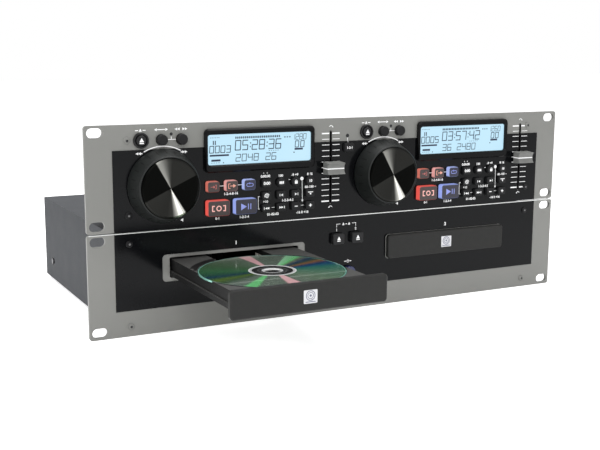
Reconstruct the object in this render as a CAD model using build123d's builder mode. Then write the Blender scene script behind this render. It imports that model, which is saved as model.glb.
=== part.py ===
from build123d import *
import math
import os

os.makedirs("parts", exist_ok=True)

# A two-deck disc player for a 19 inch rack: a disc transport with two loading trays below,
# and the controller that works it above, both two rack units high.
# X runs to the right, Y to the back, Z up. Y = 0 is the front face of both metal panels,
# and Z = 0 is the plane that the feet and the lower panel's edge stand on.

# ---------------------------------------------------------------- rack panels
rack_width = 482.6
rack_unit = 44.45
panel_units = 2
panel_clearance = 0.8
unit_pitch = panel_units * rack_unit
panel_height = unit_pitch - panel_clearance
panel_thickness = 3.0
panel_corner = 2.5
slot_spacing_x = 465.1
slot_spacing_z = 76.2
slot_length = 13.0
slot_width = 8.0
overlay_thickness = 0.4
overlay_half_width = 218.5
upper_overlay_top = 67.3
lower_overlay_bottom = 22.0
screw_radius = 1.5
screw_head_radius = 2.9
screw_head_height = 1.5
screw_reach = 7.0
panel_screw_x = 206.0
upper_screw_heights = (13.5, 75.1)
lower_screw_heights = (8.5, 78.7)

# ---------------------------------------------------------------- housings
sheet = 1.2
case_width = 430.0
transport_depth = 253.0
transport_gap_below = 3.5
transport_top = 84.5
controller_depth = 76.0
controller_margin = 3.0
chassis_flange = 12.0
foot_radius = 9.0
foot_inset_x = 32.0
foot_inset_y = 34.0
side_screw_y = 226.0
side_screw_z = 22.0
dimple_radius = 5.0
dimple_depth = 0.5
dimple_angle = 150.0

# ---------------------------------------------------------------- keys
key_clearance = 0.3
key_flange = 1.2
key_flange_thickness = 1.2
key_stem_radius = 1.6
key_travel = 1.2
key_edge = 0.5
board_front = 14.0
board_thickness = 1.6
switch_height = 3.0

# ---------------------------------------------------------------- controller decks
deck_spacing = 214.0
jog_x = -68.7
jog_z = 36.6
jog_base_radius = 31.0
jog_rim_radius = 26.4
jog_height = 17.6
jog_lift = 0.6
jog_skirt = 1.4
jog_wall = 2.2
jog_well_depth = 6.2
jog_disc_radius = 24.6
jog_disc_rise = 1.2
jog_disc_thickness = 3.0
jog_ring_gap = 0.6
jog_shaft_radius = 3.6
jog_sleeve_wall = 2.0
jog_sleeve_end = 8.0
encoder_radius = 8.5
encoder_height = 4.5

round_key_radius = 4.5
round_key_rise = 4.2
round_key_z = 74.9
scratch_key_x = -69.4
search_key_x = -52.0
deck_eject_x = -87.2
deck_eject_radius = 4.2
deck_eject_rise = 2.6
guard_radius = 6.4
guard_rise = 2.2
guard_wall = 1.2

bezel_x = 20.1
bezel_z = 63.9
bezel_width = 104.5
bezel_height = 37.0
bezel_rise = 3.5
bezel_corner = 4.0
bezel_edge = 1.1
window_z = 64.6
window_width = 98.6
window_height = 25.9
window_corner = 2.2
lcd_border = 1.2
lcd_thickness = 6.0

loop_key_x = (-25.1, -8.2, 8.6)
loop_key_z = 33.5
loop_key_width = 11.2
loop_key_height = 9.3
loop_key_rise = 4.0
cue_key_x = -20.8
play_key_x = 4.6
cue_key_z = 15.0
cue_key_width = 20.4
cue_key_height = 13.5
cue_key_rise = 5.0
large_key_corner = 2.0
small_key_x = (25.3, 39.6, 53.9, 68.2)
small_key_z = (33.6, 22.6, 11.7)
small_key_width = 8.5
small_key_height = 7.2
small_key_corner = 1.6
small_key_rise = 3.0
small_round_radius = 4.0
keypad_margin = 3.0
keypad_web = 1.2
relay_key_x = 1.0
relay_key_z = 61.6
relay_key_width = 10.0
relay_key_height = 8.0

fader_x = 90.0
fader_slot_z = 44.0
fader_slot_width = 1.9
fader_travel = 60.0
fader_end_gap = 1.4
fader_cap_width = 17.0
fader_cap_length = 11.5
fader_cap_height = 10.4
fader_cap_dip = 2.4
fader_cap_taper = 0.8
fader_cap_gap = 0.4
fader_lever_width = 1.2
fader_lever_length = 4.0
fader_body_width = 10.0
fader_body_depth = 9.0
fader_body_length = 78.0
fader_track_depth = 7.5

# ---------------------------------------------------------------- transport decks
tray_spacing = 220.0
opening_width = 122.0
opening_height = 17.8
opening_z = 55.4
opening_corner = 1.5
border_width = 135.0
border_height = 23.5
border_corner = 3.5
door_width = 133.4
door_height = 22.4
door_thickness = 4.0
door_corner = 3.0
door_gap = 0.5
door_edge = 0.8
tray_travel = 136.6
tray_top = 62.3
tray_half_width = 58.7
rail_half_width = 60.4
rail_height = 4.0
tray_wall = 1.6
tray_bottom = 48.5
tray_length = 164.0
disc_radius = 60.0
disc_hole_radius = 7.5
disc_thickness = 1.2
disc_clearance = 0.6
disc_centre = 68.5
disc_recess = 1.7
small_disc_radius = 40.6
small_disc_recess = 1.2
tray_floor = 1.5
pickup_slot_width = 52.0

gear_module = 1.0
gear_teeth = 18
gear_backlash = 0.16
pressure_angle = 20.0
rack_offset = 46.0
rack_bar = 3.0
rack_gap = 0.6
rack_height = 6.0
rack_lead_teeth = 2.5
pinion_y = 17.0
pinion_shaft_radius = 2.0
pulley_radius = 11.5
pulley_height = 3.6
bearing_clearance = 0.1

frame_wall = 3.0
frame_gap = 0.5
frame_top = 66.0
frame_base = 20.0
frame_base_thickness = 2.0
frame_depth = 166.0
lip_gap = 0.4
lip_height = 3.0
leg_radius = 4.0
leg_inset = 8.0

traverse_half_width = 40.0
traverse_front = 44.0
traverse_back = 144.0
traverse_z = 34.0
traverse_thickness = 2.0
traverse_lift = 4.8
guide_radius = 2.2
guide_clearance = 0.4
guide_shoulder = 1.8
guide_inset = 6.0
motor_radius = 12.5
motor_height = 11.0
spindle_radius = 1.5
platter_radius = 14.5
platter_thickness = 2.7
platter_gap = 3.4
cone_radius = 7.2
cone_height = 3.0
rod_radius = 1.5
rod_x = 16.0
rod_z = 46.0
rod_front = 74.5
rod_block = 3.0
pickup_half_width = 20.5
pickup_length = 23.0
pickup_height = 8.0
lens_radius = 4.0
lens_rise = 6.2
lens_offset = 9.0
pickup_travel = 35.0

bridge_front = 46.0
bridge_depth = 44.0
bridge_thickness = 1.2
puck_radius = 13.0
puck_flange = 3.0
puck_gap = 1.2
puck_height = 7.0

tray_eject_x = 10.0
tray_eject_z = 67.5
tray_eject_width = 12.0
tray_eject_height = 10.0
tray_eject_rise = 4.6
power_key_x = 2.5
power_key_z = 35.0
power_key_radius = 6.0
power_key_rise = 4.5
power_key_travel = 2.5
switch_board_depth = 12.0

# ---------------------------------------------------------------- rear and inside
rear_y = panel_thickness + transport_depth
inlet_x = 168.0
inlet_z = 40.0
inlet_width = 27.5
inlet_height = 20.0
inlet_wall = 1.8
inlet_flange_width = 50.0
inlet_flange_height = 24.0
inlet_flange_thickness = 2.5
inlet_depth = 17.0
inlet_pin_length = 10.0
socket_radius = 4.2
socket_bore = 1.7
socket_reach = 9.0
socket_spacing = 14.0
socket_count = 6
socket_start_x = -96.0
socket_z = 34.0
socket_inside = 6.0
link_width = 17.0
link_height = 10.0
link_reach = 3.0
link_side_angle = 80.0
link_plate_width = 31.0
link_plate_thickness = 1.0
link_screw_x = 12.5
link_screw_radius = 2.4
link_screw_reach = 5.0
transport_link_x = (0.0, 42.0)
controller_link_x = (-60.0, 60.0)
main_board_width = 210.0
main_board_depth = 62.0
main_board_x = -20.0
main_board_z = 12.0
board_edge_gap = 6.0
chip_height = 3.0
chip_size = 20.0
chip_spots = ((-60.0, 0.0), (10.0, 8.0))
can_radius = 5.0
can_spots = ((60.0, -6.0), (80.0, -6.0))
controller_board_gap_x = 10.0
controller_board_gap_z = 5.0
supply_width = 74.0
supply_depth = 54.0
supply_height = 34.0
supply_x = 168.0
supply_corner = 2.0
supply_gap = 8.0
inlet_corner = 3.0
inlet_pin_width = 2.0
inlet_pin_height = 4.0
inlet_pin_spots = ((-7.0, -1.5), (7.0, -1.5), (0.0, 2.5))
standoff_radius = 2.5
post_left = -91.0
post_right = 80.0
post_heights = (12.0, 62.0)
switch_board_width = 46.0
switch_board_height = 56.0
switch_board_z = 50.0

controller_base = unit_pitch
flange_front = panel_thickness + key_clearance
fader_slot_length = fader_travel + fader_lever_length + 2 * fader_end_gap
decks = (("a", -deck_spacing / 2), ("b", deck_spacing / 2))
loaders = (("a", -tray_spacing / 2, -tray_travel), ("b", tray_spacing / 2, 0.0))
door_back = -overlay_thickness - door_gap


def upright(y=0.0, x=0.0, z=0.0):
    """A plane facing the user: its x is the part's X, its y is the part's Z."""
    return Plane(origin=(x, y, z), x_dir=(1, 0, 0), z_dir=(0, -1, 0))


def level(z=0.0, x=0.0, y=0.0):
    """A plane lying flat: its x and y are the part's X and Y."""
    return Plane(origin=(x, y, z), x_dir=(1, 0, 0), z_dir=(0, 0, 1))


def save(piece, node):
    """Labels one finished piece and writes it under its node's name."""
    piece.part.label = node
    export_step(piece.part, f"parts/{node}.step")


# ================================================================ keys
def small_keys():
    """Every small key of one deck as (column, row, round), the first of the top row square."""
    for column, x in enumerate(small_key_x):
        for row, z in enumerate(small_key_z):
            yield x, z, row == 0 and column > 0


def small_key_outline(x, z, is_round, grow=0.0, mode=Mode.ADD):
    with Locations((x, z)):
        if is_round:
            Circle(small_round_radius + grow, mode=mode)
        else:
            RectangleRounded(
                small_key_width + 2 * grow, small_key_height + 2 * grow, small_key_corner, mode=mode
            )


def large_keys():
    """The square-cornered keys of one deck: name, x, z, width, height, rise."""
    for name, x in zip(("loop_in_key", "loop_out_key", "reloop_key"), loop_key_x):
        yield name, x, loop_key_z, loop_key_width, loop_key_height, loop_key_rise
    for name, x in (("cue_key", cue_key_x), ("play_key", play_key_x)):
        yield name, x, cue_key_z, cue_key_width, cue_key_height, cue_key_rise


def round_keys():
    """The round keys above the jog wheel of one deck: name, x, radius, rise."""
    yield "deck_eject_key", deck_eject_x, deck_eject_radius, deck_eject_rise
    yield "scratch_key", scratch_key_x, round_key_radius, round_key_rise
    yield "search_key", search_key_x, round_key_radius, round_key_rise


def press_key(node, x, z, outline, rise, stem_end):
    """A key: its cap stands through the panel, its flange lies behind it, its stem meets a switch."""
    with BuildPart() as key:
        with BuildSketch(upright(flange_front, x, z)):
            outline(0.0)
        extrude(amount=flange_front + overlay_thickness + rise)
        chamfer(key.edges().group_by(Axis.Y)[0], key_edge)
        with BuildSketch(upright(flange_front, x, z)):
            outline(key_flange)
        extrude(amount=-key_flange_thickness)
        with BuildSketch(upright(flange_front + key_flange_thickness, x, z)):
            Circle(key_stem_radius)
        extrude(amount=-(stem_end - flange_front - key_flange_thickness))
    save(key, node)


def square_outline(width, height, corner):
    """A key's rounded outline, or its plain rectangular flange where it grows behind the panel."""

    def outline(grow):
        if grow:
            Rectangle(width + 2 * grow, height + 2 * grow)
        else:
            RectangleRounded(width, height, corner)

    return outline


def round_outline(radius):
    return lambda grow: Circle(radius + grow)


switch_top = board_front - switch_height
stem_end = switch_top - key_travel - key_clearance

for deck, centre in decks:
    for name, x, z, width, height, rise in large_keys():
        press_key(
            f"{name}_{deck}",
            centre + x,
            controller_base + z,
            square_outline(width, height, large_key_corner),
            rise,
            stem_end,
        )
    for name, x, radius, rise in round_keys():
        press_key(
            f"{name}_{deck}", centre + x, controller_base + round_key_z, round_outline(radius), rise, stem_end
        )

press_key(
    "relay_key",
    relay_key_x,
    controller_base + relay_key_z,
    square_outline(relay_key_width, relay_key_height, large_key_corner),
    small_key_rise,
    stem_end,
)

# One soft keypad for each deck: a web behind the panel that carries twelve small key tops.
for deck, centre in decks:
    pad_width = small_key_x[-1] - small_key_x[0] + small_key_width + 2 * keypad_margin
    pad_height = small_key_z[0] - small_key_z[-1] + small_key_height + 2 * keypad_margin
    pad_x = centre + (small_key_x[0] + small_key_x[-1]) / 2
    pad_z = controller_base + (small_key_z[0] + small_key_z[-1]) / 2
    with BuildPart() as keypad:
        with BuildSketch(upright(flange_front, pad_x, pad_z)):
            Rectangle(pad_width, pad_height)
        extrude(amount=-keypad_web)
        with BuildSketch(upright(flange_front, centre, controller_base)):
            for x, z, is_round in small_keys():
                small_key_outline(x, z, is_round)
        extrude(amount=flange_front + overlay_thickness + small_key_rise)
        chamfer(keypad.edges().group_by(Axis.Y)[0], key_edge / 2)
    save(keypad, f"keypad_{deck}")


# ================================================================ controller panel
def key_cutout(x, z, width, height, rounded):
    """One square key's opening: rounded in the printed overlay, plain in the metal behind it."""
    with Locations((x, z)):
        if rounded:
            RectangleRounded(
                width + 2 * key_clearance, height + 2 * key_clearance, large_key_corner, mode=Mode.SUBTRACT
            )
        else:
            Rectangle(width + 2 * key_clearance, height + 2 * key_clearance, mode=Mode.SUBTRACT)


def controller_cutouts(rounded):
    """All that goes through the controller's panel and its overlay, measured from its lower edge."""
    for deck, centre in decks:
        with Locations((centre + jog_x, jog_z)):
            Circle(jog_shaft_radius + jog_sleeve_wall + 2 * key_clearance, mode=Mode.SUBTRACT)
        for name, x, z, width, height, rise in large_keys():
            key_cutout(centre + x, z, width, height, rounded)
        for name, x, radius, rise in round_keys():
            with Locations((centre + x, round_key_z)):
                Circle(radius + key_clearance, mode=Mode.SUBTRACT)
        for x, z, is_round in small_keys():
            if rounded or is_round:
                small_key_outline(centre + x, z, is_round, key_clearance, Mode.SUBTRACT)
            else:
                key_cutout(centre + x, z, small_key_width, small_key_height, rounded)
        with Locations((centre + bezel_x, window_z)):
            Rectangle(
                window_width + 2 * (lcd_border + key_clearance),
                window_height + 2 * (lcd_border + key_clearance),
                mode=Mode.SUBTRACT,
            )
        with Locations((centre + fader_x, fader_slot_z)):
            SlotOverall(fader_slot_length, fader_slot_width, rotation=90, mode=Mode.SUBTRACT)
    key_cutout(relay_key_x, relay_key_z, relay_key_width, relay_key_height, rounded)


def transport_cutouts(rounded):
    """The key openings of the transport's panel and its overlay."""
    for side in (-1, 1):
        key_cutout(side * tray_eject_x, tray_eject_z, tray_eject_width, tray_eject_height, rounded)
    with Locations((power_key_x, power_key_z)):
        Circle(power_key_radius + key_clearance, mode=Mode.SUBTRACT)


def screw_holes(heights):
    with Locations(*[(side * panel_screw_x, z) for side in (-1, 1) for z in heights]):
        Circle(screw_radius, mode=Mode.SUBTRACT)


def panel_blank(heights):
    """The outline of one rack panel with its four slots and its screw holes."""
    with Locations((0, panel_height / 2)):
        RectangleRounded(rack_width, panel_height, panel_corner)
        with GridLocations(slot_spacing_x, slot_spacing_z, 2, 2):
            SlotOverall(slot_length, slot_width, mode=Mode.SUBTRACT)
    screw_holes(heights)


post_spots = [
    (centre + x, z) for deck, centre in decks for x in (post_left, post_right) for z in post_heights
]

with BuildPart() as controller_panel:
    with BuildSketch(upright(panel_thickness, 0, controller_base)):
        panel_blank(upper_screw_heights)
        controller_cutouts(rounded=False)
    extrude(amount=panel_thickness)
    with BuildSketch(upright(panel_thickness, 0, controller_base)):
        with Locations(*post_spots):
            Circle(standoff_radius)
    extrude(amount=-(board_front - panel_thickness))
    with BuildSketch(upright(0, 0, controller_base)):
        for deck, centre in decks:
            with Locations((centre + deck_eject_x, round_key_z)):
                Circle(guard_radius)
                Circle(guard_radius - guard_wall, mode=Mode.SUBTRACT)
    extrude(amount=guard_rise)
save(controller_panel, "controller_panel")

# ================================================================ transport panel
with BuildPart() as transport_panel:
    with BuildSketch(upright(panel_thickness)):
        panel_blank(lower_screw_heights)
        for deck, x, shift in loaders:
            with Locations((x, opening_z)):
                RectangleRounded(opening_width, opening_height, opening_corner, mode=Mode.SUBTRACT)
        transport_cutouts(rounded=False)
    extrude(amount=panel_thickness)
    with BuildSketch(upright(panel_thickness, 0, switch_board_z)):
        with GridLocations(switch_board_width - 3 * standoff_radius, 1, 2, 1):
            Circle(standoff_radius)
    extrude(amount=-switch_board_depth)
save(transport_panel, "transport_panel")

transport_stem_end = panel_thickness + switch_board_depth - key_travel - key_clearance
for side, deck in ((-1, "a"), (1, "b")):
    press_key(
        f"tray_eject_key_{deck}",
        side * tray_eject_x,
        tray_eject_z,
        square_outline(tray_eject_width, tray_eject_height, large_key_corner),
        tray_eject_rise,
        transport_stem_end,
    )
press_key(
    "power_key",
    power_key_x,
    power_key_z,
    round_outline(power_key_radius),
    power_key_rise,
    panel_thickness + switch_board_depth - power_key_travel - key_clearance,
)

# Printed plastic overlays, one on each panel.
with BuildPart() as panel_overlays:
    with BuildSketch(upright(0, 0, controller_base)):
        with Locations((0, upper_overlay_top / 2)):
            Rectangle(2 * overlay_half_width, upper_overlay_top)
        controller_cutouts(rounded=True)
        screw_holes(upper_screw_heights)
    extrude(amount=overlay_thickness)
    with BuildSketch(upright(0)):
        with Locations((0, (lower_overlay_bottom + panel_height) / 2)):
            Rectangle(2 * overlay_half_width, panel_height - lower_overlay_bottom)
        for deck, x, shift in loaders:
            with Locations((x, opening_z)):
                RectangleRounded(border_width, border_height, border_corner, mode=Mode.SUBTRACT)
        transport_cutouts(rounded=True)
        screw_holes(lower_screw_heights)
    extrude(amount=overlay_thickness)
save(panel_overlays, "panel_overlays")

# Eight panel screws with domed heads, seated on the overlay or, near the edges, on the bare metal.
with BuildPart() as panel_screws:
    for base, heights, covered in (
        (controller_base, upper_screw_heights, lambda z: z < upper_overlay_top),
        (0.0, lower_screw_heights, lambda z: z > lower_overlay_bottom),
    ):
        for z in heights:
            seat = -overlay_thickness if covered(z) else 0.0
            for side in (-1, 1):
                with BuildSketch(upright(seat, side * panel_screw_x, base + z)):
                    Circle(screw_head_radius)
                extrude(amount=screw_head_height)
                with BuildSketch(upright(seat, side * panel_screw_x, base + z)):
                    Circle(screw_radius)
                extrude(amount=-screw_reach)
    rims = panel_screws.edges().filter_by(GeomType.CIRCLE).filter_by(
        lambda edge: abs(edge.radius - screw_head_radius) < 0.01 and edge.center().Y < -screw_head_height + 0.01
    )
    chamfer(rims, screw_head_height / 2)
save(panel_screws, "panel_screws")

# ================================================================ jog wheels
for deck, centre in decks:
    x, z = centre + jog_x, controller_base + jog_z
    seat = -overlay_thickness - jog_lift
    rim_y = seat - jog_height
    well_y = rim_y + jog_well_depth
    sleeve_inner = jog_shaft_radius + key_clearance
    sleeve_outer = jog_shaft_radius + jog_sleeve_wall
    axis = Axis((x, 0, z), (0, 1, 0))
    ring_inner = jog_disc_radius + jog_ring_gap
    with BuildPart() as jog_ring:
        with BuildSketch(level(z, x)):
            with BuildLine():
                Polyline(
                    (jog_base_radius, seat),
                    (jog_base_radius, seat - jog_skirt),
                    (jog_rim_radius, rim_y + jog_skirt / 2),
                    (jog_rim_radius - jog_skirt / 2, rim_y),
                    (ring_inner, rim_y),
                    (ring_inner, well_y),
                    (sleeve_inner, well_y),
                    (sleeve_inner, jog_sleeve_end),
                    (sleeve_outer, jog_sleeve_end),
                    (sleeve_outer, well_y + jog_wall),
                    (jog_rim_radius - jog_wall, well_y + jog_wall),
                    (jog_base_radius - jog_wall, seat),
                    close=True,
                )
            make_face()
        revolve(axis=axis)
    save(jog_ring, f"jog_ring_{deck}")

    face_y = rim_y - jog_disc_rise
    back_y = face_y + jog_disc_thickness
    shaft_end = board_front - encoder_height - key_clearance
    with BuildPart() as jog_disc:
        with BuildSketch(level(z, x)):
            with BuildLine():
                Polyline(
                    (0, face_y + jog_skirt / 2),
                    (jog_disc_radius - jog_skirt, face_y),
                    (jog_disc_radius, face_y + jog_skirt / 2),
                    (jog_disc_radius, back_y),
                    (jog_shaft_radius, back_y),
                    (jog_shaft_radius, shaft_end),
                    (0, shaft_end),
                    close=True,
                )
            make_face()
        revolve(axis=axis)
    save(jog_disc, f"jog_disc_{deck}")

# ================================================================ displays
with BuildPart() as lcd_bezels:
    for deck, centre in decks:
        with BuildSketch(upright(-overlay_thickness, centre + bezel_x, controller_base)):
            with Locations((0, bezel_z)):
                RectangleRounded(bezel_width, bezel_height, bezel_corner)
            with Locations((0, window_z)):
                RectangleRounded(window_width, window_height, window_corner, mode=Mode.SUBTRACT)
        extrude(amount=bezel_rise)
    chamfer(lcd_bezels.edges().group_by(Axis.Y)[0], bezel_edge)
save(lcd_bezels, "lcd_bezels")

with BuildPart() as lcd_modules:
    for deck, centre in decks:
        with BuildSketch(upright(-overlay_thickness, centre + bezel_x, controller_base + window_z)):
            Rectangle(window_width + 2 * lcd_border, window_height + 2 * lcd_border)
        extrude(amount=-lcd_thickness)
save(lcd_modules, "lcd_modules")

# ================================================================ pitch faders
with BuildPart() as fader_bodies:
    for deck, centre in decks:
        place = upright(panel_thickness, centre + fader_x, controller_base + fader_slot_z)
        with BuildSketch(place):
            Rectangle(fader_body_width, fader_body_length)
        extrude(amount=-fader_body_depth)
        with BuildSketch(place):
            SlotOverall(fader_slot_length + fader_slot_width, 2 * fader_slot_width, rotation=90)
        extrude(amount=-fader_track_depth, mode=Mode.SUBTRACT)
save(fader_bodies, "fader_bodies")

for deck, centre in decks:
    x, z = centre + fader_x, controller_base + fader_slot_z
    foot = -overlay_thickness - screw_head_height - fader_cap_gap
    crown = foot - fader_cap_height
    half = fader_cap_length / 2
    half_crown = half - fader_cap_taper
    with BuildPart() as fader_cap:
        with BuildSketch(Plane(origin=(x, 0, z), x_dir=(0, 0, 1), z_dir=(-1, 0, 0))):
            with BuildLine():
                Polyline((half_crown, crown), (half, foot), (-half, foot), (-half_crown, crown))
                ThreePointArc((-half_crown, crown), (0, crown + fader_cap_dip), (half_crown, crown))
            make_face()
        extrude(amount=fader_cap_width / 2, both=True)
        with BuildSketch(upright(foot, x, z)):
            Rectangle(fader_lever_width, fader_lever_length)
        extrude(amount=-(panel_thickness + fader_track_depth - key_clearance - foot))
    save(fader_cap, f"fader_cap_{deck}")

# ================================================================ controller housing and board
case_bottom = controller_base + controller_margin
case_height = panel_height - 2 * controller_margin
case_middle = case_bottom + case_height / 2
controller_back = panel_thickness + controller_depth


def link_outline(spots, shrink=0.0):
    """The connector's shell, wider at its top than at its bottom."""
    with Locations(*spots):
        Trapezoid(link_width - 2 * shrink, link_height - 2 * shrink, link_side_angle, rotation=180)


transport_links = [(x, socket_z) for x in transport_link_x]
controller_links = [(x, case_middle) for x in controller_link_x]

with BuildPart() as controller_case:
    with BuildSketch(upright(panel_thickness, 0, case_middle)):
        Rectangle(case_width, case_height)
    extrude(amount=-controller_depth)
    front_face = controller_case.faces().sort_by(Axis.Y)[0]
    offset(amount=-sheet, openings=front_face)
    with BuildSketch(upright(controller_back)):
        link_outline(controller_links)
    extrude(amount=sheet, mode=Mode.SUBTRACT)
save(controller_case, "controller_case")

with BuildPart() as controller_board:
    with BuildSketch(upright(board_front, 0, controller_base + panel_height / 2)):
        Rectangle(case_width - 2 * controller_board_gap_x, case_height - 2 * controller_board_gap_z)
    extrude(amount=-board_thickness)
    with BuildSketch(upright(board_front, 0, controller_base)):
        for deck, centre in decks:
            with Locations((centre + jog_x, jog_z)):
                Circle(encoder_radius)
    extrude(amount=encoder_height)
    with BuildSketch(upright(board_front, 0, controller_base)):
        for deck, centre in decks:
            for name, x, z, width, height, rise in large_keys():
                with Locations((centre + x, z)):
                    Rectangle(2 * switch_height, 2 * switch_height)
            for name, x, radius, rise in round_keys():
                with Locations((centre + x, round_key_z)):
                    Rectangle(2 * switch_height, 2 * switch_height)
        with Locations((relay_key_x, relay_key_z)):
            Rectangle(2 * switch_height, 2 * switch_height)
    extrude(amount=switch_height)
save(controller_board, "controller_board")

# ================================================================ transport housing
floor_top = transport_gap_below + sheet
inner_width = case_width - 2 * sheet
socket_spots = [(socket_start_x + k * socket_spacing, socket_z) for k in range(socket_count)]

with BuildPart() as transport_chassis:
    with BuildSketch(level(transport_gap_below, 0, panel_thickness + transport_depth / 2)):
        Rectangle(inner_width, transport_depth)
    extrude(amount=sheet)
    with BuildSketch(upright(rear_y, 0, (transport_gap_below + transport_top - sheet) / 2)):
        Rectangle(inner_width, transport_top - sheet - transport_gap_below)
    extrude(amount=sheet)
    with BuildSketch(upright(panel_thickness + sheet)):
        with Locations((0, floor_top + chassis_flange / 2)):
            Rectangle(inner_width, chassis_flange)
        screw_holes(lower_screw_heights)
    extrude(amount=sheet)
    with BuildSketch(upright(rear_y, 0, 0)):
        with Locations((inlet_x, inlet_z)):
            Rectangle(inlet_width, inlet_height)
        with Locations(*socket_spots):
            Circle(socket_radius)
        link_outline(transport_links)
    extrude(amount=2 * sheet, mode=Mode.SUBTRACT)
save(transport_chassis, "transport_chassis")

with BuildPart() as transport_cover:
    with BuildSketch(upright(panel_thickness)):
        with Locations((0, (transport_gap_below + transport_top) / 2)):
            Rectangle(case_width, transport_top - transport_gap_below)
        with Locations((0, (transport_gap_below + transport_top) / 2 - sheet)):
            Rectangle(inner_width, transport_top - transport_gap_below, mode=Mode.SUBTRACT)
    extrude(amount=-transport_depth)
    for side in (-1, 1):
        with Locations(Plane(origin=(side * case_width / 2, side_screw_y, side_screw_z), z_dir=(side, 0, 0))):
            CounterSinkHole(screw_radius, dimple_radius, depth=2 * sheet, counter_sink_angle=dimple_angle)
save(transport_cover, "transport_cover")

with BuildPart() as case_screws:
    for side in (-1, 1):
        seat_x = side * (case_width / 2 - dimple_depth)
        seat_plane = Plane(origin=(seat_x, side_screw_y, side_screw_z), z_dir=(side, 0, 0))
        with BuildSketch(seat_plane):
            Circle(screw_head_radius)
        extrude(amount=screw_head_height)
        with BuildSketch(seat_plane):
            Circle(screw_radius)
        extrude(amount=-screw_reach)
save(case_screws, "case_screws")

foot_x = case_width / 2 - foot_inset_x
with BuildPart() as feet:
    with BuildSketch(level(0, 0, panel_thickness + transport_depth / 2)):
        with GridLocations(2 * foot_x, transport_depth - 2 * foot_inset_y, 2, 2):
            Circle(foot_radius)
    extrude(amount=transport_gap_below)
save(feet, "feet")

# ================================================================ loading mechanisms
pitch_radius = gear_module * gear_teeth / 2
gear_pitch = math.pi * gear_module
rack_line = rack_offset
pinion_offset = rack_line - pitch_radius
tray_floor_z = tray_top - disc_recess - small_disc_recess - tray_floor
pinion_top = tray_floor_z - rack_gap
frame_inner = rail_half_width + frame_gap
frame_outer = frame_inner + frame_wall
disc_y = door_back - door_thickness + disc_centre


def involute(angle):
    return math.tan(angle) - angle


def pinion_points(turn):
    """The pinion's outline, tooth by tooth, with the first tooth towards +X when turn is 0."""
    base_radius = pitch_radius * math.cos(math.radians(pressure_angle))
    tip_radius = pitch_radius + 0.95 * gear_module
    root_radius = pitch_radius - 1.2 * gear_module
    half_tooth = (gear_pitch / 2 - gear_backlash) / (2 * pitch_radius)
    at_base = half_tooth + involute(math.radians(pressure_angle))
    radii = [base_radius + share * (tip_radius - base_radius) for share in (0.0, 0.3, 0.65, 1.0)]
    flank = [(root_radius, at_base)]
    flank += [(radius, at_base - involute(math.acos(base_radius / radius))) for radius in radii]
    points = []
    for tooth in range(gear_teeth):
        middle = 2 * math.pi * tooth / gear_teeth + turn
        points += [(radius, middle - spread) for radius, spread in flank]
        points += [(radius, middle + spread) for radius, spread in reversed(flank)]
    return [(radius * math.cos(angle), radius * math.sin(angle)) for radius, angle in points]


def rack_points(start, end):
    """The rack's outline: teeth towards -X on a straight bar, with a space centred on the pinion."""
    slope = math.tan(math.radians(pressure_angle))
    half_tooth = (gear_pitch / 2 - gear_backlash) / 2
    tip, root = rack_line - 0.95 * gear_module, rack_line + 1.2 * gear_module
    half_tip = half_tooth - slope * (rack_line - tip)
    half_root = half_tooth + slope * (root - rack_line)
    first = math.ceil((start - pinion_y + half_root) / gear_pitch - 0.5)
    last = math.floor((end - pinion_y - half_root) / gear_pitch - 0.5)
    points = [(root + rack_bar, end), (root + rack_bar, start), (root, start)]
    for tooth in range(first, last + 1):
        middle = pinion_y + (tooth + 0.5) * gear_pitch
        points += [
            (root, middle - half_root),
            (tip, middle - half_tip),
            (tip, middle + half_tip),
            (root, middle + half_root),
        ]
    return points + [(root, end)]


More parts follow.
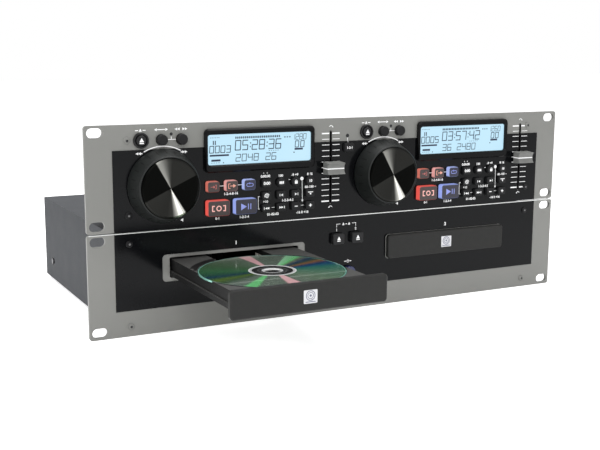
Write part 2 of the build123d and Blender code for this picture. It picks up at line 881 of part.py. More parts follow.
for deck, centre, shift in loaders:
    # The tray: a plate with two disc recesses, side skirts on rails, and a slot for the pickup.
    body_front = door_back
    body_end = body_front + tray_length
    with BuildPart() as tray:
        with BuildSketch(level(tray_top, centre, shift)):
            with Locations((0, (body_front + body_end) / 2)):
                Rectangle(2 * tray_half_width, tray_length)
        extrude(amount=-(tray_top - tray_bottom))
        with BuildSketch(level(tray_floor_z, centre, shift)):
            with Locations((0, (body_front + tray_wall + body_end) / 2)):
                Rectangle(2 * (tray_half_width - tray_wall), tray_length - tray_wall)
        extrude(amount=-(tray_top - tray_bottom), mode=Mode.SUBTRACT)
        with BuildSketch(level(tray_top - disc_recess, centre, shift)):
            with Locations((0, disc_y)):
                Circle(disc_radius + disc_clearance)
        extrude(amount=2 * disc_recess, mode=Mode.SUBTRACT)
        with BuildSketch(level(tray_top - disc_recess - small_disc_recess, centre, shift)):
            with Locations((0, disc_y)):
                Circle(small_disc_radius)
        extrude(amount=2 * disc_recess, mode=Mode.SUBTRACT)
        with BuildSketch(level(tray_top, centre, shift)):
            with Locations((0, disc_y)):
                Circle(pickup_slot_width / 2)
            with Locations((0, (disc_y + body_end) / 2)):
                Rectangle(pickup_slot_width, body_end - disc_y)
        extrude(amount=-(tray_top - tray_bottom), mode=Mode.SUBTRACT)
        for side in (-1, 1):
            with BuildSketch(level(tray_bottom, centre, shift)):
                with Locations(
                    (side * (tray_half_width - tray_wall + rail_half_width) / 2, (body_front + body_end) / 2)
                ):
                    Rectangle(rail_half_width - tray_half_width + tray_wall, tray_length)
            extrude(amount=rail_height)
        with BuildSketch(level(tray_floor_z, centre, shift)):
            with BuildLine():
                Polyline(*rack_points(pinion_y - rack_lead_teeth * gear_pitch, body_end), close=True)
            make_face()
        extrude(amount=-rack_height)
    save(tray, f"tray_{deck}")

    with BuildPart() as tray_door:
        with BuildSketch(upright(door_back + shift, centre, opening_z)):
            RectangleRounded(door_width, door_height, door_corner)
        extrude(amount=door_thickness)
        chamfer(tray_door.edges().group_by(Axis.Y)[0], door_edge)
    save(tray_door, f"tray_door_{deck}")

    # The loading gear: a pinion under the tray's rack, with its belt pulley, on a fixed shaft.
    with BuildPart() as loading_gear:
        with BuildSketch(level(pinion_top, centre + pinion_offset, pinion_y)):
            with BuildLine():
                Polyline(*pinion_points(shift / pitch_radius), close=True)
            make_face()
        extrude(amount=-rack_height + rack_gap)
        pulley_top = tray_bottom - rack_gap
        with BuildSketch(level(pinion_top, centre + pinion_offset, pinion_y)):
            Circle(pitch_radius - 2 * gear_module)
        extrude(amount=-(pinion_top - pulley_top + pulley_height))
        with BuildSketch(level(pulley_top, centre + pinion_offset, pinion_y)):
            Circle(pulley_radius)
        extrude(amount=-pulley_height)
        with BuildSketch(level(pinion_top, centre + pinion_offset, pinion_y)):
            Circle(pinion_shaft_radius + bearing_clearance)
        extrude(amount=-(pinion_top - frame_base), mode=Mode.SUBTRACT)
    save(loading_gear, f"loading_gear_{deck}")

    # The traverse: the plate that lifts the spindle motor and the pickup rods to the disc.
    guide_spots = [
        (side * (traverse_half_width - guide_inset), y)
        for side in (-1, 1)
        for y in (traverse_front + guide_inset, traverse_back - guide_inset)
    ]
    rod_back = rod_front + 2 * rod_block + pickup_length + pickup_travel + 2 * key_clearance
    platter_top = tray_top - disc_recess - platter_gap
    with BuildPart() as traverse:
        with BuildSketch(level(traverse_z, centre)):
            with Locations((0, (traverse_front + traverse_back) / 2)):
                RectangleRounded(2 * traverse_half_width, traverse_back - traverse_front, guide_inset)
            with Locations((0, (rod_front + rod_block + rod_back - rod_block) / 2)):
                Rectangle(
                    2 * (pickup_half_width + key_clearance),
                    rod_back - rod_front - 2 * rod_block,
                    mode=Mode.SUBTRACT,
                )
            with Locations(*guide_spots):
                Circle(guide_radius + guide_clearance, mode=Mode.SUBTRACT)
        extrude(amount=traverse_thickness)
        with BuildSketch(level(traverse_z, centre, disc_y)):
            Circle(motor_radius)
        extrude(amount=-motor_height)
        for y in (rod_front, rod_back - rod_block):
            with BuildSketch(level(traverse_z, centre, y + rod_block / 2)):
                with Locations((-rod_x, 0), (rod_x, 0)):
                    Rectangle(4 * rod_radius, rod_block)
            extrude(amount=rod_z + 2 * rod_radius - traverse_z)
        with BuildSketch(upright(rod_front, centre, rod_z)):
            with Locations((-rod_x, 0), (rod_x, 0)):
                Circle(rod_radius)
        extrude(amount=-(rod_back - rod_front))
        with BuildSketch(level(traverse_z + traverse_thickness, centre, disc_y)):
            Circle(spindle_radius + bearing_clearance)
        extrude(amount=-motor_height, mode=Mode.SUBTRACT)
    save(traverse, f"traverse_{deck}")

    # The turntable: platter, centring cone and spindle, in one with the motor's rotor.
    spindle_end = traverse_z + traverse_thickness - motor_height + key_clearance
    with BuildPart() as turntable:
        with BuildSketch(Plane(origin=(centre, disc_y, 0), x_dir=(1, 0, 0), z_dir=(0, -1, 0))):
            with BuildLine():
                Polyline(
                    (0, platter_top + cone_height),
                    (cone_radius - cone_height / 2, platter_top + cone_height),
                    (cone_radius, platter_top + cone_height / 3),
                    (cone_radius, platter_top),
                    (platter_radius, platter_top),
                    (platter_radius, platter_top - platter_thickness),
                    (2 * spindle_radius, platter_top - platter_thickness),
                    (2 * spindle_radius, traverse_z + traverse_thickness + key_clearance),
                    (spindle_radius, traverse_z + traverse_thickness + key_clearance),
                    (spindle_radius, spindle_end),
                    (0, spindle_end),
                    close=True,
                )
            make_face()
        revolve(axis=Axis((centre, disc_y, 0), (0, 0, 1)))
    save(turntable, f"turntable_{deck}")

    # The pickup: a sled on two rods with the lens on top.
    sled_y = rod_front + rod_block + key_clearance
    sled_bottom = rod_z - pickup_height / 2
    with BuildPart() as pickup:
        with BuildSketch(level(sled_bottom, centre, sled_y + pickup_length / 2)):
            Rectangle(2 * pickup_half_width, pickup_length)
        extrude(amount=pickup_height)
        with BuildSketch(level(sled_bottom + pickup_height, centre, sled_y + lens_offset)):
            Circle(lens_radius)
        extrude(amount=lens_rise)
        with BuildSketch(upright(sled_y, centre, rod_z)):
            with Locations((-rod_x, 0), (rod_x, 0)):
                Circle(rod_radius + bearing_clearance)
        extrude(amount=-pickup_length, mode=Mode.SUBTRACT)
    save(pickup, f"pickup_{deck}")

with BuildPart() as disc_a:
    with BuildSketch(level(tray_top - disc_recess + bearing_clearance, -tray_spacing / 2, disc_y - tray_travel)):
        Circle(disc_radius)
        Circle(disc_hole_radius, mode=Mode.SUBTRACT)
    extrude(amount=disc_thickness)
save(disc_a, "disc_a")

# The drive frames: walls with rail grooves, a base on legs, guide posts and the gear's shaft.
frame_front = panel_thickness + key_clearance
rail_low = tray_bottom - lip_gap
rail_high = tray_bottom + rail_height + lip_gap
with BuildPart() as drive_frames:
    for deck, centre, shift in loaders:
        with BuildSketch(level(frame_base, centre, frame_front)):
            with Locations((0, frame_depth / 2)):
                Rectangle(2 * frame_outer, frame_depth)
            with Locations((0, (traverse_front + traverse_back) / 2 - frame_front)):
                Rectangle(
                    2 * (traverse_half_width - 2 * guide_inset),
                    traverse_back - traverse_front,
                    mode=Mode.SUBTRACT,
                )
        extrude(amount=frame_base_thickness)
        for side in (-1, 1):
            with BuildSketch(level(frame_base, centre + side * (frame_inner + frame_wall / 2), frame_front)):
                with Locations((0, frame_depth / 2)):
                    Rectangle(frame_wall, frame_depth)
            extrude(amount=frame_top - frame_base)
            lip_width = frame_inner - tray_half_width - lip_gap
            for lip_z in (rail_low - lip_height, rail_high):
                with BuildSketch(level(lip_z, centre + side * (frame_inner - lip_width / 2), frame_front)):
                    with Locations((0, frame_depth / 2)):
                        Rectangle(lip_width, frame_depth)
                extrude(amount=lip_height)
        with BuildSketch(level(frame_base, centre, frame_front + frame_depth / 2)):
            with GridLocations(2 * (frame_outer - leg_inset), frame_depth - 2 * leg_inset, 2, 2):
                Circle(leg_radius)
        extrude(amount=-(frame_base - floor_top))
        with BuildSketch(level(frame_base, centre)):
            with Locations(*guide_spots):
                Circle(guide_radius + guide_shoulder)
        extrude(amount=traverse_z - key_clearance - frame_base)
        with BuildSketch(level(frame_base, centre)):
            with Locations(*guide_spots):
                Circle(guide_radius)
        extrude(amount=traverse_z + traverse_thickness + traverse_lift + key_clearance - frame_base)
        with BuildSketch(level(frame_base, centre + pinion_offset, pinion_y)):
            Circle(2 * pinion_shaft_radius)
        extrude(amount=tray_bottom - rack_gap - pulley_height - key_clearance - frame_base)
        with BuildSketch(level(frame_base, centre + pinion_offset, pinion_y)):
            Circle(pinion_shaft_radius)
        extrude(amount=pinion_top - frame_base)
save(drive_frames, "drive_frames")

# The clamp bridges span the frames, and each holds a clamp puck over the turntable.
puck_bottom = tray_top + puck_gap
with BuildPart() as clamp_bridges:
    for deck, centre, shift in loaders:
        with BuildSketch(level(frame_top, centre)):
            with Locations((0, bridge_front + bridge_depth / 2)):
                Rectangle(2 * frame_outer, bridge_depth)
            with Locations((0, disc_y)):
                Circle(puck_radius + key_clearance, mode=Mode.SUBTRACT)
        extrude(amount=bridge_thickness)
        with BuildSketch(level(puck_bottom, centre, disc_y)):
            Circle(puck_radius)
        extrude(amount=puck_height)
        with BuildSketch(level(frame_top + bridge_thickness + bearing_clearance, centre, disc_y)):
            Circle(puck_radius + puck_flange)
        extrude(amount=puck_bottom + puck_height - frame_top - bridge_thickness - bearing_clearance)
        with BuildSketch(level(puck_bottom, centre, disc_y)):
            Circle(cone_radius + 2 * key_clearance)
        extrude(amount=cone_height + key_clearance, mode=Mode.SUBTRACT)
save(clamp_bridges, "clamp_bridges")

# ================================================================ boards, supply and sockets
board_y = rear_y - sheet - board_edge_gap - main_board_depth / 2
supply_y = rear_y - sheet - inlet_depth - supply_gap - supply_depth / 2
with BuildPart() as transport_boards:
    with BuildSketch(level(main_board_z, main_board_x, board_y)):
        Rectangle(main_board_width, main_board_depth)
    extrude(amount=board_thickness)
    with BuildSketch(level(main_board_z, main_board_x, board_y)):
        with GridLocations(main_board_width - 2 * board_edge_gap, main_board_depth - 2 * board_edge_gap, 2, 2):
            Circle(standoff_radius)
    extrude(amount=-(main_board_z - floor_top))
    with BuildSketch(level(main_board_z + board_thickness, main_board_x, board_y)):
        with Locations(*chip_spots):
            Rectangle(chip_size, chip_size)
        with Locations(*can_spots):
            Circle(can_radius)
    extrude(amount=chip_height)
    with BuildSketch(upright(panel_thickness + switch_board_depth, 0, switch_board_z)):
        Rectangle(switch_board_width, switch_board_height)
    extrude(amount=-board_thickness)
save(transport_boards, "transport_boards")

with BuildPart() as power_supply:
    with BuildSketch(level(floor_top, supply_x, supply_y)):
        RectangleRounded(supply_width, supply_depth, supply_corner)
    extrude(amount=supply_height)
save(power_supply, "power_supply")

with BuildPart() as mains_inlet:
    with BuildSketch(upright(rear_y + inlet_flange_thickness, inlet_x, inlet_z)):
        RectangleRounded(inlet_flange_width, inlet_flange_height, inlet_corner)
    extrude(amount=inlet_flange_thickness)
    with BuildSketch(upright(rear_y, inlet_x, inlet_z)):
        Rectangle(inlet_width - 2 * key_clearance, inlet_height - 2 * key_clearance)
    extrude(amount=inlet_depth)
    with BuildSketch(upright(rear_y + inlet_flange_thickness, inlet_x, inlet_z)):
        Rectangle(inlet_width - 2 * inlet_wall, inlet_height - 2 * inlet_wall)
    extrude(amount=inlet_depth + inlet_flange_thickness - inlet_wall, mode=Mode.SUBTRACT)
    with BuildSketch(upright(rear_y - inlet_depth, inlet_x, inlet_z)):
        with Locations(*inlet_pin_spots):
            Rectangle(inlet_pin_width, inlet_pin_height)
    extrude(amount=-inlet_pin_length)
save(mains_inlet, "mains_inlet")

# Phono sockets, and for each link between the two units a connector with its two jack screws.
with BuildPart() as rear_sockets:
    with BuildSketch(upright(rear_y + socket_reach)):
        with Locations(*socket_spots):
            Circle(socket_radius - key_clearance)
    extrude(amount=socket_reach + socket_inside)
    with BuildSketch(upright(rear_y + socket_reach)):
        with Locations(*socket_spots):
            Circle(socket_bore)
    extrude(amount=socket_reach, mode=Mode.SUBTRACT)
    for back, spots in ((rear_y, transport_links), (controller_back, controller_links)):
        with BuildSketch(upright(back + link_reach)):
            link_outline(spots, key_clearance)
        extrude(amount=link_reach + socket_inside)
        with BuildSketch(upright(back + link_plate_thickness)):
            with Locations(*spots):
                Rectangle(link_plate_width, link_height)
        extrude(amount=link_plate_thickness)
        with BuildSketch(upright(back + link_screw_reach)):
            for x, z in spots:
                with Locations((x - link_screw_x, z), (x + link_screw_x, z)):
                    RegularPolygon(link_screw_radius, 6)
        extrude(amount=link_screw_reach - link_plate_thickness)
save(rear_sockets, "rear_sockets")
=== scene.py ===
"""Looks of a two-deck disc player for a 19 inch rack: a transport with two trays below, its controller above.

Sizes are millimetres in the CAD frame, with X to the right, Y to the back and Z up. They become metres
where a mesh is made.
"""

import math

import bmesh
import bpy
from mathutils import Matrix, Vector


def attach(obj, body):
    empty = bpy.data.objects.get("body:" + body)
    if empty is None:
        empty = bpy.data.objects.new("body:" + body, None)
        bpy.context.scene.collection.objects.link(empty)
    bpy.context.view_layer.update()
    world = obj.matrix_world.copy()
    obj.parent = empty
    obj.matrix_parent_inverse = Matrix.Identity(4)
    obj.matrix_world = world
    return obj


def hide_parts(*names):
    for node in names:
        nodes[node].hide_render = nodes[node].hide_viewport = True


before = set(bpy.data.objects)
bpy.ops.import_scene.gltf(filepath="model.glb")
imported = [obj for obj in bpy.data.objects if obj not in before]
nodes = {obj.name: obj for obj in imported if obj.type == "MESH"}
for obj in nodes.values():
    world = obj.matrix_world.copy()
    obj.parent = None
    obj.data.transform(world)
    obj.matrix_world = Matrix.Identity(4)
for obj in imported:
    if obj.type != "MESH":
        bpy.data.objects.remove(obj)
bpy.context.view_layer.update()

MM = 0.001
PRINT = 0.04  # thickness of a printed mark
FINE = 0.4  # width of a thin printed line

# ------------------------------------------------------------------ places, as the CAD has them
BASE = 88.9  # foot of the controller's panel
PANEL_FRONT = 0.0
OVERLAY_FRONT = -0.4

# on the controller, from the middle of each deck and the foot of the panel
DECKS = (("a", -107.0), ("b", 107.0))
LOOP_X = (-25.1, -8.2, 8.6)
LOOP_Z = 33.5
CUE_X, PLAY_X, CUE_Z = -20.8, 4.6, 15.0
PAD_X = (25.3, 39.6, 53.9, 68.2)
PAD_Z = (33.6, 22.6, 11.7)
ROUND_X = (-87.2, -69.4, -52.0)
ROUND_Z = 74.9
JOG_X, JOG_Z = -68.7, 36.6
WINDOW_X, WINDOW_Z = 20.1, 64.6
WINDOW_WIDTH, WINDOW_HEIGHT = 98.6, 25.9
FADER_X, FADER_Z = 90.0, 44.0

# on the transport
TRAY_TRAVEL = 136.6
TRAYS = (("a", -110.0, TRAY_TRAVEL), ("b", 110.0, 0.0))  # with how far each tray is out
TRAY_TOP, DOOR_FRONT, DISC_HOME = 62.3, -4.9, 63.6
EJECT_X, EJECT_Z = 10.0, 67.5
POWER_X, POWER_Z = 2.5, 35.0

# how far the keys stand out from the black sheet
EJECT_OUT, LOOP_OUT, CUE_OUT, SMALL_KEY_OUT, TRAY_EJECT_OUT = 2.6, 4.0, 5.0, 3.0, 4.6


def metres(*values):
    return [value * MM for value in values]


def link(name, data):
    """A new object in the scene."""
    made = bpy.data.objects.new(name, data)
    bpy.context.scene.collection.objects.link(made)
    return made


# ================================================================== camera
def place_camera():
    """The photograph's viewpoint, worked out from the corners and slots of both rack panels."""
    yaw, pitch, roll = math.radians(27.30), math.radians(10.0), math.radians(0.28)
    place = Vector((-458.5, -796.4, 240.7)) * MM
    forward = Vector((math.sin(yaw) * math.cos(pitch), math.cos(yaw) * math.cos(pitch), -math.sin(pitch)))
    level_right = Vector((math.cos(yaw), -math.sin(yaw), 0))
    level_up = level_right.cross(forward)
    right = math.cos(roll) * level_right + math.sin(roll) * level_up
    up = -math.sin(roll) * level_right + math.cos(roll) * level_up
    camera = link("camera", bpy.data.cameras.new("camera"))
    camera.data.lens = 61.04
    camera.data.sensor_width = 36.0
    camera.data.clip_start = 0.05
    camera.data.clip_end = 20.0
    turn = Matrix((right, up, -forward)).transposed().to_4x4()
    camera.matrix_world = Matrix.Translation(place) @ turn
    bpy.context.scene.camera = camera


# ================================================================== shaders
class Signal:
    """One shader value. Arithmetic on it adds Math nodes."""

    def __init__(self, finish, socket):
        self.finish, self.socket = finish, socket

    def maths(self, operation, *values):
        return self.finish.node("ShaderNodeMath", {"operation": operation}, values)

    def __add__(self, other):
        return self.maths("ADD", self, other)

    def __sub__(self, other):
        return self.maths("SUBTRACT", self, other)

    def __rsub__(self, other):
        return self.maths("SUBTRACT", other, self)

    def __mul__(self, other):
        return self.maths("MULTIPLY", self, other)

    def __lt__(self, other):
        return self.maths("LESS_THAN", self, other)

    def __gt__(self, other):
        return self.maths("GREATER_THAN", self, other)

    __radd__ = __add__
    __rmul__ = __mul__


def rgba(colour):
    """A colour, or a grey given as one number, with full alpha."""
    return (*colour, 1.0) if hasattr(colour, "__len__") else (colour, colour, colour, 1.0)


class Finish:
    """A procedural material. What is the same all over is set on the shader's own sockets."""

    def __init__(self, name, **constants):
        self.material = bpy.data.materials.new(name)
        self.material.use_nodes = True
        self.tree = self.material.node_tree
        self.shader = self.tree.nodes["Principled BSDF"]
        for socket, value in constants.items():
            self.set(socket.replace("_", " ").title().replace("Ior", "IOR"), value)

    def set(self, socket, value):
        target = self.shader.inputs[socket]
        if isinstance(value, Signal):
            self.tree.links.new(value.socket, target)
        else:
            target.default_value = rgba(value) if target.type == "RGBA" else value

    def node(self, kind, settings=None, values=(), output=0):
        """Adds a node. Its settings come first, then the values or links of its sockets."""
        made = self.tree.nodes.new(kind)
        for name, value in (settings or {}).items():
            if name == "stops":
                self.set_stops(made.color_ramp, value)
            else:
                setattr(made, name, value)
        pairs = values.items() if isinstance(values, dict) else enumerate(values)
        for key, value in pairs:
            if isinstance(value, Signal):
                self.tree.links.new(value.socket, made.inputs[key])
            else:
                made.inputs[key].default_value = value
        return Signal(self, made.outputs[output])

    def set_stops(self, ramp, stops):
        """Stops are (position, colour or grey), in order."""
        while len(ramp.elements) < len(stops):
            ramp.elements.new(1.0)
        for element, (position, colour) in zip(ramp.elements, stops):
            element.position = position
            element.color = rgba(colour)

    def place(self):
        return self.node("ShaderNodeTexCoord", output="Object")

    def split(self, vector):
        """The three parts of a vector."""
        made = self.node("ShaderNodeSeparateXYZ", values=(vector,)).socket.node
        return [Signal(self, socket) for socket in made.outputs]

    def facing(self):
        """The three parts of the direction that the surface faces."""
        return self.split(self.node("ShaderNodeTexCoord", output="Normal"))

    def noise(self, scale, detail):
        """Cloudy noise on object coordinates, with its scale in features per metre."""
        values = {"Vector": self.place(), "Scale": scale, "Detail": detail}
        return self.node("ShaderNodeTexNoise", values=values)

    def rings(self, reach, scale, detail):
        """Uneven rings about a centre, from the distance to it."""
        values = {"W": reach, "Scale": scale, "Detail": detail}
        return self.node("ShaderNodeTexNoise", {"noise_dimensions": "1D"}, values)

    def ramp(self, factor, stops):
        return self.node("ShaderNodeValToRGB", {"stops": stops}, (factor,))

    def blend(self, factor, first, second):
        """A colour between two others."""
        values = {"Factor": factor}
        for key, colour in ((6, first), (7, second)):
            values[key] = colour if isinstance(colour, Signal) else rgba(colour)
        return self.node("ShaderNodeMix", {"data_type": "RGBA"}, values, output=2)

    def bump(self, height, distance):
        """Relief on the shader's normal, as deep as the distance, in metres."""
        self.set("Normal", self.node("ShaderNodeBump", values={"Height": height, "Distance": distance}))

    def around(self, across, along):
        """The turn about a centre, from 0 to 1, and the distance from it, out of two distances in a plane."""
        flat = self.node("ShaderNodeCombineXYZ", values=(across, along, 0.0))
        turn = self.node("ShaderNodeTexGradient", {"gradient_type": "RADIAL"}, (flat,), output=1)
        reach = self.node("ShaderNodeVectorMath", {"operation": "LENGTH"}, (flat,), output="Value")
        return turn, reach

    def sectors(self, turn, stops):
        """A colour for each angle about a centre, from stops in degrees between -180 and 180."""
        return self.ramp(turn, [(angle / 360.0 + 0.5, colour) for angle, colour in stops])


def scaled_colour(colour, share):
    """A colour a little lighter or darker."""
    return tuple(min(1.0, channel * share) for channel in colour)


def enamel(name, colour, roughness, grain, depth, specular):
    """Sprayed paint on sheet metal: fine orange peel, faint clouds in its colour and gloss."""
    finish = Finish(name, specular_ior_level=specular)
    clouds = finish.noise(9.0, 4.0)
    finish.set("Base Color", finish.blend(clouds, scaled_colour(colour, 0.93), scaled_colour(colour, 1.07)))
    finish.set("Roughness", finish.noise(60.0, 3.0) * 0.12 + (roughness - 0.06))
    finish.bump(finish.noise(grain, 3.0), depth)
    return finish.material


def moulded(name, colour, roughness, grain=3500.0, depth=0.00002, specular=0.35):
    """Moulded plastic: a fine spark-eroded texture and a slight mottle."""
    finish = Finish(name, specular_ior_level=specular)
    mottle = finish.noise(240.0, 3.0)
    finish.set("Base Color", finish.blend(mottle, scaled_colour(colour, 0.86), scaled_colour(colour, 1.14)))
    finish.set("Roughness", finish.noise(420.0, 2.0) * 0.14 + (roughness - 0.07))
    finish.bump(finish.noise(grain, 2.0), depth)
    return finish.material


def tray_moulding(name, colour, painted_flank_shade):
    """Tray plastic, fine grained, with painted shade on the faces that look left."""
    finish = Finish(name, specular_ior_level=0.2)
    # Painted shade: faces that look left take the dark shade colour instead of the tray's own.
    left_facing_shade_mask = finish.facing()[0] < -0.5
    mottle = finish.noise(240.0, 3.0)
    top = finish.blend(mottle, scaled_colour(colour, 0.88), scaled_colour(colour, 1.12))
    finish.set("Base Color", finish.blend(left_facing_shade_mask, top, painted_flank_shade))
    finish.set("Roughness", finish.noise(420.0, 2.0) * 0.12 + 0.44)
    finish.bump(finish.noise(2800.0, 2.0), 0.00003)
    return finish.material


def gloss_sheet(name):
    """A black sheet printed on its back: its smooth front mirrors what stands before it."""
    finish = Finish(name, specular_ior_level=0.13)
    haze = finish.noise(30.0, 3.0)
    finish.set("Base Color", finish.blend(haze, (0.0024, 0.0027, 0.0034), (0.0038, 0.0042, 0.0050)))
    finish.set("Roughness", haze * 0.06 + 0.11)
    finish.bump(finish.noise(220.0, 2.0), 0.000004)
    return finish.material


def matched_screw(name):
    """Screw heads painted like the band or the sheet that they sit on."""
    finish = Finish(name, specular_ior_level=0.2)
    height = finish.split(finish.place())[2]
    on_band = (height > 156.2 * MM) + (height < 22.0 * MM)
    mottle = finish.noise(900.0, 2.0)
    paint = finish.blend(on_band, (0.005, 0.005, 0.006), (0.255, 0.255, 0.24))
    finish.set("Base Color", finish.blend(mottle * 0.08, paint, (0.03, 0.03, 0.03)))
    finish.set("Roughness", mottle * 0.1 + 0.36)
    finish.bump(mottle, 0.00001)
    return finish.material


def plated(name, colour, roughness, along=(30.0, 30.0, 2200.0)):
    """Bright metal with drawn or rolled lines along one axis."""
    finish = Finish(name, metallic=1.0)
    stretched = finish.node("ShaderNodeMapping", values={"Vector": finish.place(), "Scale": along})
    lines = finish.node("ShaderNodeTexNoise", values={"Vector": stretched, "Scale": 1.0, "Detail": 3.0})
    finish.set("Base Color", finish.blend(lines, scaled_colour(colour, 0.85), scaled_colour(colour, 1.1)))
    finish.set("Roughness", lines * 0.15 + (roughness - 0.07))
    finish.bump(lines, 0.000015)
    return finish.material


def print_ink(name, colour, glow=0.0):
    """Screen printing ink, slightly uneven in its cover."""
    finish = Finish(name, roughness=0.55, specular_ior_level=0.3, emission_strength=glow)
    cover = finish.noise(1500.0, 2.0)
    finish.set("Base Color", finish.blend(cover, scaled_colour(colour, 0.88), colour))
    finish.set("Emission Color", colour)
    finish.bump(cover, 0.00001)
    return finish.material


def lit_key(name, wall, face):
    """A clear coloured key lit from behind: glowing walls and bevel under a dark printed top. Painted light
    makes the walls that face left and up glow more than those that face right.
    """
    finish = Finish(name, roughness=0.38, specular_ior_level=0.4, emission_strength=1.0)
    to_right, to_back, upwards = finish.facing()
    top = to_back * -1.0 > 0.9
    # Painted light: the glow leans towards walls that face left and up, and is dim on walls that face right.
    lean = upwards * 0.55 - to_right * 0.9
    glow = finish.blend(finish.noise(260.0, 2.0), scaled_colour(wall, 0.8), scaled_colour(wall, 1.1))
    painted_side_light = finish.node("ShaderNodeMath", {"operation": "ADD", "use_clamp": True}, (lean, 0.22))
    edge = finish.blend(painted_side_light, scaled_colour(wall, 0.12), glow)
    finish.set("Base Color", finish.blend(top, scaled_colour(wall, 0.14), face))
    finish.set("Emission Color", finish.blend(top, edge, scaled_colour(face, 0.25)))
    finish.bump(finish.noise(3000.0, 2.0), 0.000012)
    return finish.material


def spun_metal_painted_highlights(name, x, z):
    """The turned face of a jog wheel: rings too fine to count, and painted highlights in sectors around its
    centre.
    """
    finish = Finish(name, metallic=1.0, anisotropic=0.6)
    across, _, height = finish.split(finish.place())
    turn, reach = finish.around(across - x * MM, height - z * MM)
    dark, highlight_tint = 0.0018, (1.0, 0.995, 0.92)
    # Painted highlights: the light sectors of the base colour stand for the reflection off the turned rings,
    # the dark ones for where it is missing.
    highlight_sectors = (
        (-180.0, dark), (-155.3, dark), (-154.7, 0.020), (-100.0, 0.017), (-87.0, 0.030), (-82.0, 0.20),
        (-76.0, 0.42), (-75.0, 0.80), (-64.5, 0.95), (-63.5, 0.36), (-62.0, 0.62), (-59.4, 0.45),
        (-58.8, dark), (24.7, dark), (25.3, 0.018), (86.0, 0.017), (95.0, 0.040), (104.0, 0.11),
        (111.0, 0.20), (118.0, 0.23), (120.3, 0.18), (120.9, dark), (180.0, dark),
    )
    painted_highlight = finish.sectors(turn, [(angle, scaled_colour(highlight_tint, grey)) for angle, grey in highlight_sectors])
    rings = finish.rings(reach, 2600.0, 3.0)
    dimmer_highlight = finish.blend(0.25, painted_highlight, (0.03, 0.033, 0.03))
    finish.set("Base Color", finish.blend(rings * 0.4, painted_highlight, dimmer_highlight))
    finish.set("Roughness", rings * 0.12 + 0.26)
    finish.bump(rings, 0.00002)
    return finish.material


def pressed_disc(name, x, y):
    """A pressed disc's data side: green-grey, with painted reflections and painted rainbow highlights in
    streaks around its centre.
    """
    finish = Finish(name, roughness=0.2, specular_ior_level=0.6, coat_weight=0.5, coat_roughness=0.03)
    across, depth, _ = finish.split(finish.place())
    turn, reach = finish.around(across - x * MM, depth - y * MM)
    grey, pink, lime, blue = (0.16, 0.21, 0.165), (1.0, 0.58, 0.60), (0.20, 0.72, 0.26), (0.006, 0.04, 0.12)
    # Painted reflections: the colours by angle stand for light off the disc, the pink and lime streaks for
    # its rainbow highlights.
    painted_reflection_streaks = (
        (-180.0, blue), (-173.0, (0.02, 0.09, 0.06)), (-166.0, (0.11, 0.19, 0.02)),
        (-156.0, (0.05, 0.11, 0.05)), (-146.0, grey), (-138.0, grey), (-135.0, lime), (-128.0, lime),
        (-125.0, grey), (-102.0, grey), (-99.5, pink), (-89.5, pink), (-87.0, grey),
        (-60.0, (0.17, 0.26, 0.17)), (-30.0, (0.11, 0.25, 0.16)), (-6.0, (0.03, 0.20, 0.15)),
        (4.0, (0.01, 0.10, 0.20)), (11.0, (0.012, 0.05, 0.14)), (19.0, (0.30, 0.14, 0.05)),
        (25.0, (0.05, 0.09, 0.07)), (31.0, (0.015, 0.05, 0.12)), (39.0, (0.20, 0.24, 0.16)),
        (42.0, lime), (52.0, (0.42, 0.86, 0.50)), (55.0, grey), (82.0, grey), (84.0, pink), (92.5, pink),
        (95.0, (0.16, 0.22, 0.16)), (135.0, (0.07, 0.15, 0.07)), (160.0, (0.045, 0.17, 0.07)),
        (180.0, (0.014, 0.075, 0.06)),
    )
    data = finish.sectors(turn, painted_reflection_streaks)
    hub = (
        (0.0, 0.02), (0.39, 0.80), (0.425, 0.60), (0.45, 0.05), (0.56, 0.015), (0.585, 0.22),
        (0.62, 0.015), (0.83, 0.016), (0.86, 0.75), (0.90, 0.42), (0.94, 0.85), (0.98, 0.75),
    )
    hub_reach, clear_reach, rim_reach = 20.0 * MM, 19.6 * MM, 59.1 * MM
    bands = finish.ramp(reach * (1.0 / hub_reach), hub)
    clear = reach < clear_reach
    inner = finish.blend(clear, data, bands)
    finish.set("Base Color", finish.blend(reach > rim_reach, inner, (0.28, 0.62, 0.52)))
    finish.set("Metallic", 0.35 - clear * 0.3)
    finish.bump(finish.rings(reach, 1400.0, 2.0), 0.00001)
    return finish.material


def lit_screen(name):
    """The lit back of a liquid crystal display, slightly uneven."""
    finish = Finish(name, roughness=0.25, specular_ior_level=0.25, emission_strength=1.0)
    finish.set("Base Color", (0.05, 0.07, 0.08))
    clouds = finish.noise(14.0, 1.0)
    finish.set("Emission Color", finish.blend(clouds, (0.46, 0.72, 0.88), (0.55, 0.79, 0.93)))
    finish.bump(finish.noise(3500.0, 1.0), 0.000004)
    return finish.material


def circuit_board(name):
    """Green solder mask with copper runs showing through."""
    finish = Finish(name, roughness=0.35, specular_ior_level=0.5)
    values = {"Vector": finish.place(), "Scale": 220.0, "Mortar Size": 0.03, "Row Height": 0.3}
    runs = finish.node("ShaderNodeTexBrick", values=values, output="Fac")
    finish.set("Base Color", finish.blend(runs, (0.012, 0.085, 0.032), (0.03, 0.17, 0.07)))
    finish.bump(runs, 0.00003)
    return finish.material


grey_paint = enamel("satin_grey_enamel", (0.262, 0.262, 0.246), 0.42, 1800.0, 0.00003, 0.4)
case_paint = enamel("blue_grey_powder_coat", (0.060, 0.063, 0.069), 0.6, 2600.0, 0.00009, 0.1)
black_sheet = gloss_sheet("black_glossy_sheet")
panel_screw = matched_screw("colour_matched_screw")
zinc = plated("zinc_plated_sheet", (0.60, 0.61, 0.62), 0.34)
dark_screw = plated("blackened_screw", (0.07, 0.07, 0.075), 0.34, (900.0, 900.0, 900.0))
